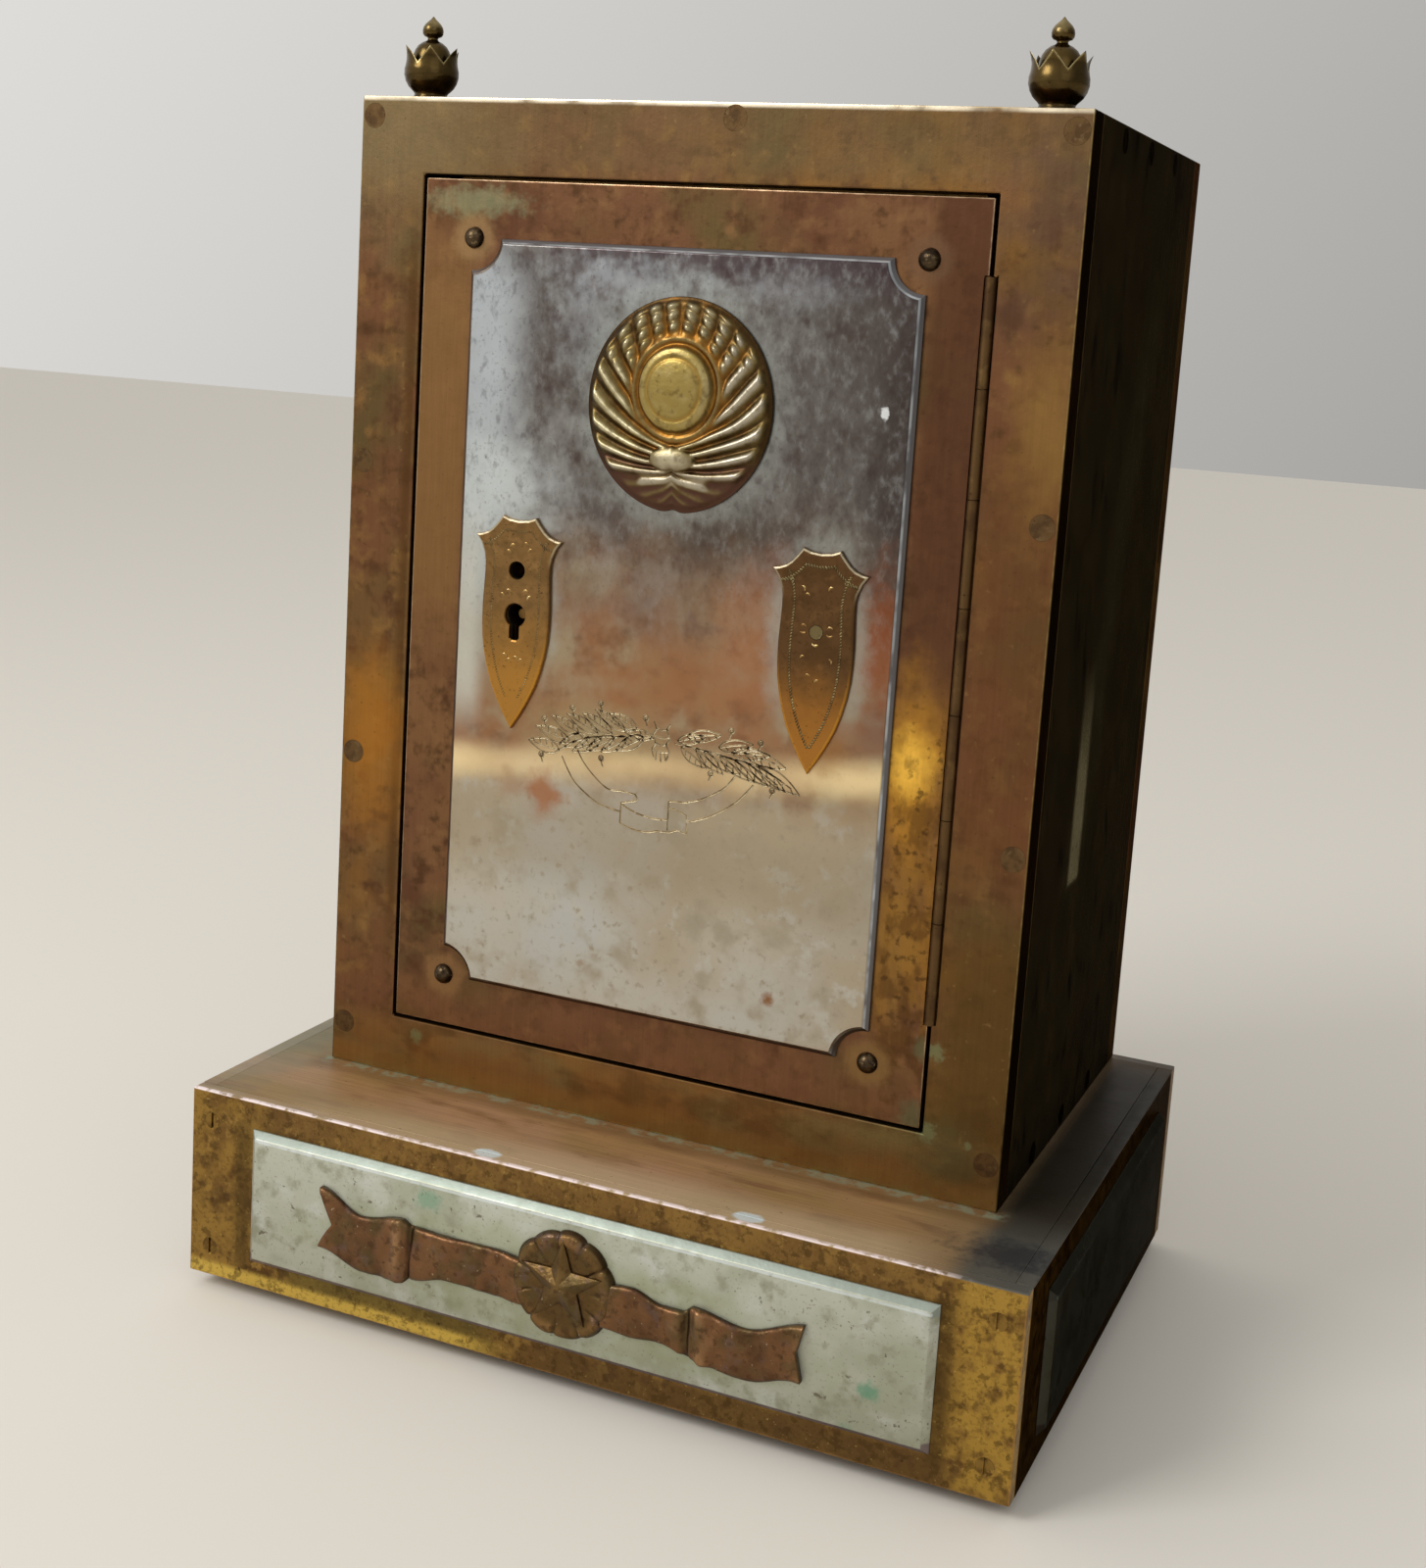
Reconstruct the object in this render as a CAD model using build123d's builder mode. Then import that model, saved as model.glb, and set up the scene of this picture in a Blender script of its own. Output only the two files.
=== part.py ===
from build123d import *
import os
from math import cos, hypot, pi, sin

os.makedirs("parts", exist_ok=True)

# A small safe of thick brass plate on a wider hollow base. Its door is hinged on the right and
# locked on the left. The origin is on the surface it stands on, under the middle of its whole
# outline. +Z is up and the door faces -Y. All sizes are in millimetres.

# ---- Driving dimensions: the base ----
foot_height = 4.0
foot_radius = 11.0
foot_inset_x = 39.0
foot_inset_y = 20.0
base_width = 214.0
base_depth = 155.0
base_height = 48.5
base_wall = 4.0
base_floor = 3.0
post_size = 9.0
panel_stand = 2.0
panel_bevel = 1.7
base_panel_height = 34.5
base_panel_side_margin = 18.5
ribbon_thick = 2.0
rosette_radius = 13.7
rosette_thick = 2.5
rosette_scallops = 20
rosette_step = 0.7
star_radius = 11.8
star_inner_radius = 4.7
star_rise = 3.0

# ---- Driving dimensions: the body ----
body_width = 180.0
body_height = 244.5
body_depth = 118.0
front_overhang = 35.0
wall = 7.0
frame_thick = 8.0
stile_left = 18.0
stile_right = 19.0
rail_top = 18.0
rail_bottom = 15.0
finial_inset_x = 11.5
finial_inset_y = 12.0

# ---- Driving dimensions: the door ----
door_gap = 0.9
door_thick = 7.8
door_panel_left_margin = 13.7
door_panel_right_margin = 13.7
door_panel_top_margin = 13.6
door_panel_bottom_margin = 13.1
panel_notch_radius = 7.7
door_panel_bevel = 1.4
medallion_x = 0.0
medallion_rise = 176.3
medallion_half_width = 23.2
medallion_half_height = 24.7
escutcheon_thick = 1.2
lock_escutcheon_x = -40.0
blank_escutcheon_x = 37.5
escutcheon_foot_rise = 95.2
keyhole_rise = 123.1
keyhole_radius = 2.8
keyhole_slot = 2.6
keyhole_drop = 6.1
pull_hole_rise = 134.0
pull_hole_radius = 2.1
pull_hole_depth = 6.0

# ---- Driving dimensions: the hinge ----
hinge_low_rise = 41.0
hinge_high_rise = 209.0
hinge_inset = 0.1
hinge_knuckles = 7
knuckle_radius = 1.3
knuckle_play = 0.2
hinge_pin_radius = 0.65
hinge_running_play = 0.06
leaf_thick = 0.9
leaf_apart = 0.1
leaf_start = 2.0
leaf_end = 7.4
leaf_bed_play = 0.05

# ---- Driving dimensions: the lock ----
lock_left = -69.0
lock_width = 42.0
lock_low_rise = 104.0
lock_height = 42.0
case_wall = 1.5
case_depth = 10.2
cover_thick = 1.5
bolt_throw = 7.0
bolt_rest_reach = 0.3
bolt_tip_bevel = 0.6
bolt_low_rise = 128.5
bolt_height = 10.0
bolt_thick = 4.0
bolt_lift = 2.0
bolt_play = 0.15
bolt_tail_x = -29.0
talon_width = 8.0
talon_depth = 3.5
guide_x = -54.0
guide_radius = 1.45
guide_play = 0.1
pin_play = 0.02
key_post_radius = 1.2
key_post_start = 1.0
pillar_radius = 2.6
spring_thick = 0.5
spring_gap = 0.35
spring_half_span = 12.0

# ---- Fasteners: stem radius, head radius, countersink depth, length ----
fit_play = 0.05
rivet = (1.5, 2.9, 1.4, 14.0)
wall_screw = (1.5, 2.8, 1.3, 14.0)
floor_screw = (1.5, 2.8, 1.3, 9.0)
stop_screw = (1.2, 2.3, 1.1, 8.0)
leaf_screw = (0.7, 1.3, 0.6, 5.0)
base_screw = (1.5, 2.1, 0.8, 10.0)
post_screw = (1.5, 2.8, 1.3, 12.0)
foot_screw = (1.5, 2.8, 1.3, 6.0)
lock_screw = (1.0, 1.8, 0.8, 6.0)
cover_screw = (1.0, 1.8, 0.8, 7.0)
slot_width = 0.7
slot_depth = 0.5

# ---- Places worked out from them ----
ornament_stand = panel_stand + rosette_thick + star_rise
base_front = ornament_stand - (base_depth + ornament_stand) / 2
base_back = base_front + base_depth
base_middle_y = (base_front + base_back) / 2
base_low = foot_height
base_high = foot_height + base_height
base_middle_z = base_low + base_height / 2
body_front = base_front + front_overhang
body_back = body_front + body_depth
body_high = base_high + body_height
frame_back = body_front + frame_thick
inner_half_width = body_width / 2 - wall
chamber_back = body_back - wall

opening_left = stile_left - body_width / 2
opening_right = body_width / 2 - stile_right
opening_low = base_high + rail_bottom
opening_high = body_high - rail_top
door_left = opening_left + door_gap
door_right = opening_right - door_gap
door_low = opening_low + door_gap
door_high = opening_high - door_gap
door_back = body_front + door_thick
panel_face = body_front - panel_stand
panel_left = door_left + door_panel_left_margin
panel_right = door_right - door_panel_right_margin
panel_low = door_low + door_panel_bottom_margin
panel_high = door_high - door_panel_top_margin

hinge_x = opening_right - door_gap / 2
hinge_y = body_front + hinge_inset
hinge_low = base_high + hinge_low_rise
hinge_high = base_high + hinge_high_rise
hinge_length = hinge_high - hinge_low
hinge_middle_z = (hinge_low + hinge_high) / 2
leaf_bed_reach = leaf_apart + leaf_thick + leaf_bed_play
leaf_bed_back = hinge_y + leaf_end + leaf_bed_play

keyhole_z = base_high + keyhole_rise
lock_right = lock_left + lock_width
lock_low = base_high + lock_low_rise
lock_high = lock_low + lock_height
lock_middle_x = (lock_left + lock_right) / 2
bolt_middle_z = base_high + bolt_low_rise + bolt_height / 2
case_rim = door_back + case_depth
cover_back = case_rim + cover_thick
bolt_low = base_high + bolt_low_rise
bolt_high = bolt_low + bolt_height
bolt_front = door_back + bolt_lift
bolt_tip_x = lock_left - bolt_rest_reach

FLUSH = (Align.CENTER, Align.CENTER, Align.MIN)


def front_plane(y, x=0.0, z=0.0):
    """A sketch plane that faces the front: its x is +X, its y is +Z and it extrudes towards -Y."""
    return Plane(origin=(x, y, z), x_dir=(1, 0, 0), z_dir=(0, -1, 0))


def side_plane(side, x, y=0.0, z=0.0):
    """A sketch plane on the right (side 1) or left (side -1), facing outwards, its y being +Z."""
    return Plane(origin=(x, y, z), x_dir=(0, side, 0), z_dir=(side, 0, 0))


def into(point, direction):
    """A place whose local +Z runs from the point into the metal, along the direction."""
    across = (0, 0, 1) if direction[2] == 0 else (1, 0, 0)
    return Plane(origin=point, x_dir=across, z_dir=direction)


def countersunk(size, play=0.0, mode=Mode.ADD):
    """A countersunk fastener at each active place, its flat head flush with the place."""
    stem, head, sink, length = size
    Cone(head + play, stem + play, sink, align=FLUSH, mode=mode)
    Cylinder(stem + play, length + play, align=FLUSH, mode=mode)


def fastener_holes(size, places):
    """Cuts the holes for countersunk fasteners out of the piece being made."""
    with Locations(*places):
        countersunk(size, play=fit_play, mode=Mode.SUBTRACT)


def slotted_screws(size, places):
    """Countersunk screws with a straight slot across their heads."""
    with Locations(*places):
        countersunk(size)
    with Locations(*places):
        Box(2 * size[1] + 1, slot_width, 2 * slot_depth, mode=Mode.SUBTRACT)


def plain_box(low, high, mode=Mode.ADD):
    """A box between two opposite corners."""
    size = [b - a for a, b in zip(low, high)]
    middle = tuple((a + b) / 2 for a, b in zip(low, high))
    with Locations(middle):
        Box(*size, mode=mode)


def finish(name, part):
    """Labels a finished piece and writes it."""
    part.label = name
    export_step(part, f"parts/{name}.step")


# ---- Where the fasteners go ----
rivet_inset = 3.5
rivet_rises = (10.7, 82.5, 156.4, 239.8)
top_rivet_x = 8.4
frame_rivet_places = [
    into((side * (body_width / 2 - rivet_inset), body_front, base_high + rise), (0, 1, 0))
    for side in (-1, 1)
    for rise in rivet_rises
]
frame_rivet_places.append(into((top_rivet_x, body_front, body_high - rivet_inset), (0, 1, 0)))

back_screw_rises = (16.0, 87.0, 158.0, 229.0)
back_screw_spread = 45.0
back_screw_places = [
    into((side * (body_width / 2 - rivet_inset), body_back, base_high + rise), (0, -1, 0))
    for side in (-1, 1)
    for rise in back_screw_rises
] + [
    into((x, body_back, z), (0, -1, 0))
    for x in (-back_screw_spread, back_screw_spread)
    for z in (base_high + rivet_inset, body_high - rivet_inset)
]

side_screw_offsets = (30.0, 58.0, 86.0)
side_screw_places = [
    into((side * body_width / 2, body_front + offset, z), (-side, 0, 0))
    for side in (-1, 1)
    for offset in side_screw_offsets
    for z in (base_high + rivet_inset, body_high - rivet_inset)
]

post_reach = base_width / 2 - base_wall - post_size / 2
post_front_y = base_front + base_wall + post_size / 2
post_back_y = base_back - base_wall - post_size / 2
post_places = [(x, y) for x in (-post_reach, post_reach) for y in (post_front_y, post_back_y)]
base_screw_reach = 101.0
base_screw_margin = 7.7
base_screw_heights = (base_low + base_screw_margin, base_high - base_screw_margin)
base_screw_places = [
    into((x, y, z), (0, turn, 0))
    for x in (-base_screw_reach, base_screw_reach)
    for z in base_screw_heights
    for y, turn in ((base_front, 1), (base_back, -1))
]
post_screw_margin = 14.0
post_screw_heights = (base_low + post_screw_margin, base_high - post_screw_margin)
post_screw_places = [
    into((side * (post_reach - post_size / 2), y, z), (side, 0, 0))
    for side in (-1, 1)
    for y in (post_front_y, post_back_y)
    for z in post_screw_heights
]
floor_screw_inset = 2.5
floor_screw_places = [
    into((side * (post_reach - floor_screw_inset), y, base_low), (0, 0, 1))
    for side in (-1, 1)
    for y in (post_front_y, post_back_y)
]

foot_x = base_width / 2 - foot_inset_x
foot_places = [
    (x, y) for x in (-foot_x, foot_x) for y in (base_front + foot_inset_y, base_back - foot_inset_y)
]
foot_recess = 0.5
foot_bevel = 0.8
foot_screw_places = [into((x, y, foot_recess), (0, 0, 1)) for x, y in foot_places]

bolt_pitch_x = 60.0
bolt_margin_y = 28.0
body_bolt_places = [
    (x, y)
    for x in (-bolt_pitch_x, bolt_pitch_x)
    for y in (body_front + bolt_margin_y, body_back - bolt_margin_y)
]
body_bolt_radius = 2.0
body_bolt_head = (3.5, 2.6)
body_bolt_reach = 5.0

finial_places = [
    (side * (body_width / 2 - finial_inset_x), body_front + finial_inset_y) for side in (-1, 1)
]
finial_stud_radius = 2.0
finial_stud_length = 6.0

stop_thick = 3.0
stop_lap = 3.0
stop_half_length = 66.0
stop_left_edge = 1.0 - inner_half_width
stop_top_height = 13.0
stop_sill_gap = 0.5
stop_corner_gap = 2.0
stop_lock_gap = 4.0
stop_side_low = (opening_low + stop_lap + stop_corner_gap, lock_low - stop_lock_gap)
stop_side_high = (lock_high + stop_lock_gap, opening_high - stop_lap - stop_corner_gap)
strike_thick = 1.5
strike_right = opening_left - 1.0
stop_screw_spread = 45.0
stop_screw_margin = 12.0
rail_screw_heights = (opening_low - 3.5, opening_high + 5.5)
side_stop_screw_x = opening_left - 5.0
stop_screw_places = [
    into((x, frame_back + stop_thick, z), (0, -1, 0))
    for x in (-stop_screw_spread, stop_screw_spread)
    for z in rail_screw_heights
] + [
    into((side_stop_screw_x, frame_back + stop_thick, z), (0, -1, 0))
    for low, high in (stop_side_low, stop_side_high)
    for z in (low + stop_screw_margin, high - stop_screw_margin)
]
strike_screw_places = [
    into((side_stop_screw_x, frame_back + strike_thick, z), (0, -1, 0))
    for z in (lock_low + 5.0, lock_high - 2.5)
]

leaf_screw_count = 5
leaf_screw_y = hinge_y + (leaf_start + leaf_end) / 2
leaf_screw_step = hinge_length / leaf_screw_count


def leaf_screw_places(side):
    """The screws of one hinge leaf: side 1 is the frame's, side -1 the door's."""
    return [
        into(
            (
                hinge_x + side * leaf_apart,
                leaf_screw_y,
                hinge_low + (n + 0.5) * leaf_screw_step,
            ),
            (side, 0, 0),
        )
        for n in range(leaf_screw_count)
    ]


door_rivet_places = [(x, z) for x in (panel_left, panel_right) for z in (panel_low, panel_high)]
door_rivet_radius = 2.6
door_rivet_rise = 2.0
door_rivet_stem = 1.4

lock_screw_spread = 13.0
lock_screw_heights = (lock_low + 7.0, lock_high - 4.2)
lock_screw_places = [
    into((x, door_back + case_wall, z), (0, -1, 0))
    for x in (lock_middle_x - lock_screw_spread, lock_middle_x + lock_screw_spread)
    for z in lock_screw_heights
]
pillar_sink = 0.4
pillar_offset = case_wall + pillar_radius - pillar_sink
pillar_places = [
    (x, z)
    for x in (lock_left + pillar_offset, lock_right - pillar_offset)
    for z in (lock_low + pillar_offset, lock_high - pillar_offset)
]
cover_screw_places = [into((x, cover_back, z), (0, -1, 0)) for x, z in pillar_places]

escutcheon_pin_z = base_high + 128.1
escutcheon_pin_radius = 1.6
medallion_z = base_high + medallion_rise
medallion_stud_radius = 1.5
medallion_stud_spread = 14.0

# ---- The base: walls, posts, floor and feet ----
with BuildPart() as base_top:
    plain_box(
        (base_wall - base_width / 2, base_front + base_wall, base_high - base_wall),
        (base_width / 2 - base_wall, base_back - base_wall, base_high),
    )
    with Locations(*[(x, y, base_high - base_wall / 2) for x, y in body_bolt_places]):
        Cylinder(body_bolt_radius + fit_play, base_wall, mode=Mode.SUBTRACT)
finish("base_top", base_top.part)

with BuildPart() as base_front_wall:
    plain_box(
        (-base_width / 2, base_front, base_low), (base_width / 2, base_front + base_wall, base_high)
    )
    fastener_holes(base_screw, base_screw_places)
finish("base_front", base_front_wall.part)

with BuildPart() as base_back_wall:
    plain_box(
        (-base_width / 2, base_back - base_wall, base_low), (base_width / 2, base_back, base_high)
    )
    fastener_holes(base_screw, base_screw_places)
finish("base_back", base_back_wall.part)

for side, name in ((-1, "base_left"), (1, "base_right")):
    with BuildPart() as base_side_wall:
        wall_xs = sorted((side * base_width / 2, side * (base_width / 2 - base_wall)))
        plain_box(
            (wall_xs[0], base_front + base_wall, base_low),
            (wall_xs[1], base_back - base_wall, base_high),
        )
        fastener_holes(post_screw, post_screw_places)
    finish(name, base_side_wall.part)

with BuildPart() as base_bottom:
    plain_box(
        (base_wall - base_width / 2, base_front + base_wall, base_low),
        (base_width / 2 - base_wall, base_back - base_wall, base_low + base_floor),
    )
    fastener_holes(floor_screw, floor_screw_places)
    fastener_holes(foot_screw, foot_screw_places)
finish("base_bottom", base_bottom.part)

with BuildPart() as base_posts:
    post_height = base_height - base_wall - base_floor
    with Locations(*[(x, y, base_low + base_floor) for x, y in post_places]):
        Box(post_size, post_size, post_height, align=FLUSH)
    fastener_holes(base_screw, base_screw_places)
    fastener_holes(post_screw, post_screw_places)
    fastener_holes(floor_screw, floor_screw_places)
finish("base_posts", base_posts.part)

with BuildPart() as base_screws:
    slotted_screws(base_screw, base_screw_places)
finish("base_screws", base_screws.part)

with BuildPart() as post_screws:
    slotted_screws(post_screw, post_screw_places)
finish("post_screws", post_screws.part)

with BuildPart() as floor_screws:
    slotted_screws(floor_screw, floor_screw_places)
finish("floor_screws", floor_screws.part)

with BuildPart() as feet:
    with Locations(*foot_places):
        Cylinder(foot_radius, foot_height, align=FLUSH)
    chamfer(feet.faces().filter_by(Axis.Z).sort_by(Axis.Z)[:4].edges(), length=foot_bevel)
    with Locations(*foot_places):
        Cylinder(foot_screw[1] + fit_play, foot_recess, align=FLUSH, mode=Mode.SUBTRACT)
    fastener_holes(foot_screw, foot_screw_places)
finish("feet", feet.part)

with BuildPart() as foot_screws:
    slotted_screws(foot_screw, foot_screw_places)
finish("foot_screws", foot_screws.part)

with BuildPart() as body_bolts:
    head_radius, head_height = body_bolt_head
    with Locations(*[(x, y, base_high - base_wall - head_height) for x, y in body_bolt_places]):
        Cylinder(head_radius, head_height, align=FLUSH)
        Cylinder(body_bolt_radius, head_height + base_wall + body_bolt_reach, align=FLUSH)
        Box(2 * head_radius, slot_width, 2 * slot_depth, mode=Mode.SUBTRACT)
finish("body_bolts", body_bolts.part)


# ---- The base's nickelled panels ----
def bevelled_panel(plane, width, height):
    """A flat rectangular panel with a bevel all round its face."""
    with BuildSketch(plane) as outline:
        Rectangle(width, height)
    extrude(outline.sketch, amount=panel_stand)


with BuildPart() as base_front_panel:
    bevelled_panel(
        front_plane(base_front, z=base_middle_z),
        base_width - 2 * base_panel_side_margin,
        base_panel_height,
    )
    chamfer(base_front_panel.faces().sort_by(Axis.Y)[0].edges(), length=panel_bevel)
finish("base_front_panel", base_front_panel.part)

for side, name in ((-1, "base_left_panel"), (1, "base_right_panel")):
    with BuildPart() as side_panel:
        bevelled_panel(
            side_plane(side, side * base_width / 2, base_middle_y, base_middle_z),
            base_depth - 2 * base_panel_side_margin,
            base_panel_height,
        )
        outer_face = side_panel.faces().sort_by(Axis.X)[-1 if side > 0 else 0]
        chamfer(outer_face.edges(), length=panel_bevel)
    finish(name, side_panel.part)

# ---- The cast ribbon, rosette and star on the front panel ----
ribbon_plane = front_plane(base_front - panel_stand, z=base_middle_z)
ribbon_end_x = 10.0
ribbon_end_low = -7.4
# Ribbon outlines, from the rosette to the tail: along the top, the notch, and back along the foot.
left_ribbon_top = [
    (-ribbon_end_x, 3.4),
    (-18.0, 4.2),
    (-31.0, 4.0),
    (-43.5, 5.6),
    (-55.0, 3.4),
    (-66.5, 8.4),
]
left_ribbon_notch = (-62.8, 0.3)
left_ribbon_foot = [(-66.8, -6.8), (-55.0, -10.6), (-43.0, -10.4), (-31.0, -6.9), (-18.0, -7.2)]
right_ribbon_top = [(ribbon_end_x, 3.2), (17.0, 3.6), (25.0, 1.0), (32.5, 3.1), (45.0, 1.2), (60.0, 5.8)]
right_ribbon_notch = (57.6, 0.6)
right_ribbon_foot = [(58.6, -7.6), (46.0, -10.9), (36.0, -9.9), (26.0, -7.6), (17.0, -8.2)]


def ribbon_half(top, notch, foot, side):
    """One half of the ribbon: two waved long edges and a swallow tail, ending at the rosette."""
    end_low = (side * ribbon_end_x, ribbon_end_low)
    with BuildSketch(ribbon_plane) as outline:
        with BuildLine():
            Spline(*top)
            Polyline(top[-1], notch, foot[0])
            Spline(*foot, end_low)
            Line(end_low, top[0])
        make_face()
        Circle(rosette_radius + fit_play, mode=Mode.SUBTRACT)
    extrude(outline.sketch, amount=ribbon_thick)


with BuildPart() as ribbon_left:
    ribbon_half(left_ribbon_top, left_ribbon_notch, left_ribbon_foot, -1)
finish("ribbon_left", ribbon_left.part)

with BuildPart() as ribbon_right:
    ribbon_half(right_ribbon_top, right_ribbon_notch, right_ribbon_foot, 1)
finish("ribbon_right", ribbon_right.part)

with BuildPart() as rosette:
    scallop_radius = rosette_radius * sin(pi / rosette_scallops)
    with BuildSketch(ribbon_plane):
        Circle(rosette_radius - scallop_radius)
        with PolarLocations(rosette_radius - scallop_radius, rosette_scallops):
            Circle(scallop_radius)
    extrude(amount=rosette_thick - rosette_step)
    step_face = base_front - panel_stand - rosette_thick + rosette_step
    with BuildSketch(front_plane(step_face, z=base_middle_z)):
        Circle(rosette_radius - 2 * scallop_radius)
    extrude(amount=rosette_step)
finish("rosette", rosette.part)

with BuildPart() as star:
    star_y = base_front - panel_stand - rosette_thick
    star_points = []
    for n in range(10):
        corner_radius = star_inner_radius if n % 2 else star_radius
        star_points.append((-corner_radius * sin(n * pi / 5), corner_radius * cos(n * pi / 5)))
    with BuildSketch(front_plane(star_y, z=base_middle_z)):
        Polygon(*star_points, align=None)
    loft([star.pending_faces[0], Vertex(0, star_y - star_rise, base_middle_z)], ruled=True)
finish("star", star.part)

# ---- The body: frame, walls, top, floor and back ----
with BuildPart() as front_frame:
    plain_box(
        (-body_width / 2, body_front, base_high), (body_width / 2, frame_back, body_high)
    )
    plain_box(
        (opening_left, body_front, opening_low),
        (opening_right, frame_back, opening_high),
        mode=Mode.SUBTRACT,
    )
    fastener_holes(rivet, frame_rivet_places)
    fastener_holes(stop_screw, stop_screw_places + strike_screw_places)
    with Locations((hinge_x, hinge_y, hinge_middle_z)):
        Cylinder(knuckle_radius + knuckle_play, hinge_length, mode=Mode.SUBTRACT)
    plain_box(
        (hinge_x, body_front, hinge_low),
        (hinge_x + leaf_bed_reach, leaf_bed_back, hinge_high),
        mode=Mode.SUBTRACT,
    )
    fastener_holes(leaf_screw, leaf_screw_places(1))
finish("front_frame", front_frame.part)

for side, name in ((-1, "left_side"), (1, "right_side")):
    with BuildPart() as body_side:
        side_xs = sorted((side * body_width / 2, side * inner_half_width))
        plain_box((side_xs[0], frame_back, base_high), (side_xs[1], chamber_back, body_high))
        fastener_holes(rivet, frame_rivet_places)
        fastener_holes(wall_screw, back_screw_places + side_screw_places)
    finish(name, body_side.part)

with BuildPart() as top_plate:
    plain_box(
        (-inner_half_width, frame_back, body_high - wall), (inner_half_width, chamber_back, body_high)
    )
    fastener_holes(rivet, frame_rivet_places)
    fastener_holes(wall_screw, back_screw_places + side_screw_places)
    with Locations(*[(x, y, body_high - finial_stud_length) for x, y in finial_places]):
        Cylinder(
            finial_stud_radius + fit_play, finial_stud_length, align=FLUSH, mode=Mode.SUBTRACT
        )
finish("top_plate", top_plate.part)

with BuildPart() as floor_plate:
    plain_box(
        (-inner_half_width, frame_back, base_high), (inner_half_width, chamber_back, base_high + wall)
    )
    fastener_holes(wall_screw, back_screw_places + side_screw_places)
    with Locations(*[(x, y, base_high) for x, y in body_bolt_places]):
        Cylinder(
            body_bolt_radius + fit_play, body_bolt_reach, align=FLUSH, mode=Mode.SUBTRACT
        )
finish("floor_plate", floor_plate.part)

with BuildPart() as back_plate:
    plain_box(
        (-body_width / 2, chamber_back, base_high), (body_width / 2, body_back, body_high)
    )
    fastener_holes(wall_screw, back_screw_places)
finish("back_plate", back_plate.part)

with BuildPart() as frame_rivets:
    with Locations(*frame_rivet_places):
        countersunk(rivet)
finish("frame_rivets", frame_rivets.part)

with BuildPart() as back_screws:
    slotted_screws(wall_screw, back_screw_places)
finish("back_screws", back_screws.part)

with BuildPart() as side_screws:
    slotted_screws(wall_screw, side_screw_places)
finish("side_screws", side_screws.part)

# ---- Stops behind the frame, and the plate that the bolt slides behind ----
with BuildPart() as top_stop:
    plain_box(
        (-stop_half_length, frame_back, opening_high - stop_lap),
        (stop_half_length, frame_back + stop_thick, opening_high - stop_lap + stop_top_height),
    )
    fastener_holes(stop_screw, stop_screw_places)
finish("top_stop", top_stop.part)

with BuildPart() as bottom_stop:
    plain_box(
        (-stop_half_length, frame_back, base_high + wall + stop_sill_gap),
        (stop_half_length, frame_back + stop_thick, opening_low + stop_lap),
    )
    fastener_holes(stop_screw, stop_screw_places)
finish("bottom_stop", bottom_stop.part)

with BuildPart() as side_stops:
    for low, high in (stop_side_low, stop_side_high):
        plain_box(
            (stop_left_edge, frame_back, low),
            (opening_left + stop_lap, frame_back + stop_thick, high),
        )
    fastener_holes(stop_screw, stop_screw_places)
finish("side_stops", side_stops.part)

with BuildPart() as strike_plate:
    plain_box(
        (stop_left_edge, frame_back, lock_low), (strike_right, frame_back + strike_thick, lock_high)
    )
    fastener_holes(stop_screw, strike_screw_places)
finish("strike_plate", strike_plate.part)

with BuildPart() as stop_screws:
    slotted_screws(stop_screw, stop_screw_places)
finish("stop_screws", stop_screws.part)

with BuildPart() as strike_screws:
    slotted_screws(stop_screw, strike_screw_places)
finish("strike_screws", strike_screws.part)

# ---- The two finials: a foot ring, a bulb whose petals flare at the shoulder, a dome and a ball ----
petal_count = 6
petal_low = 8.2
petal_high = 13.6
petal_inner_radius = 4.9
petal_outer_radius = 9.0
notch_half_width = 3.6
notch_spare = 0.5
for name, (finial_x, finial_y) in zip(("finial_left", "finial_right"), finial_places):
    with BuildPart() as finial:
        finial_plane = front_plane(finial_y, finial_x, body_high)
        # The bulb and its flared cup of petals
        with BuildSketch(finial_plane):
            with BuildLine():
                Polyline((0, 0), (4.2, 0), (4.2, 1.2), (3.4, 2.2))
                Spline((3.4, 2.2), (6.4, 5.4), (6.5, 9.2), (5.7, 11.4), (7.0, petal_high))
                Polyline((7.0, petal_high), (6.2, petal_high), (4.9, 11.6), (0, 11.6), (0, 0))
            make_face()
        revolve(axis=Axis((finial_x, finial_y, 0), (0, 0, 1)))
        # V notches between the petals
        for n in range(petal_count):
            turn = (n + 0.5) * 2 * pi / petal_count
            notch_plane = Plane(
                origin=(finial_x, finial_y, body_high),
                x_dir=(-sin(turn), cos(turn), 0),
                z_dir=(cos(turn), sin(turn), 0),
            )
            with BuildSketch(notch_plane.offset(petal_inner_radius)):
                Polygon(
                    (0, petal_low),
                    (notch_half_width, petal_high + notch_spare),
                    (-notch_half_width, petal_high + notch_spare),
                    align=None,
                )
            extrude(amount=petal_outer_radius - petal_inner_radius, mode=Mode.SUBTRACT)
        # The dome, the neck, the ball and its tip
        with BuildSketch(finial_plane):
            with BuildLine():
                Line((0, 11.0), (3.4, 11.0))
                Spline((3.4, 11.0), (3.3, 13.4), (1.6, 15.5))
                Spline((1.6, 15.5), (2.5, 17.4), (1.0, 19.3))
                Polyline((1.0, 19.3), (0, 20.3), (0, 11.0))
            make_face()
        revolve(axis=Axis((finial_x, finial_y, 0), (0, 0, 1)))
        with Locations((finial_x, finial_y, body_high - finial_stud_length)):
            Cylinder(finial_stud_radius, finial_stud_length + 1.0, align=FLUSH)
    finish(name, finial.part)

# ---- The door ----


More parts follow.
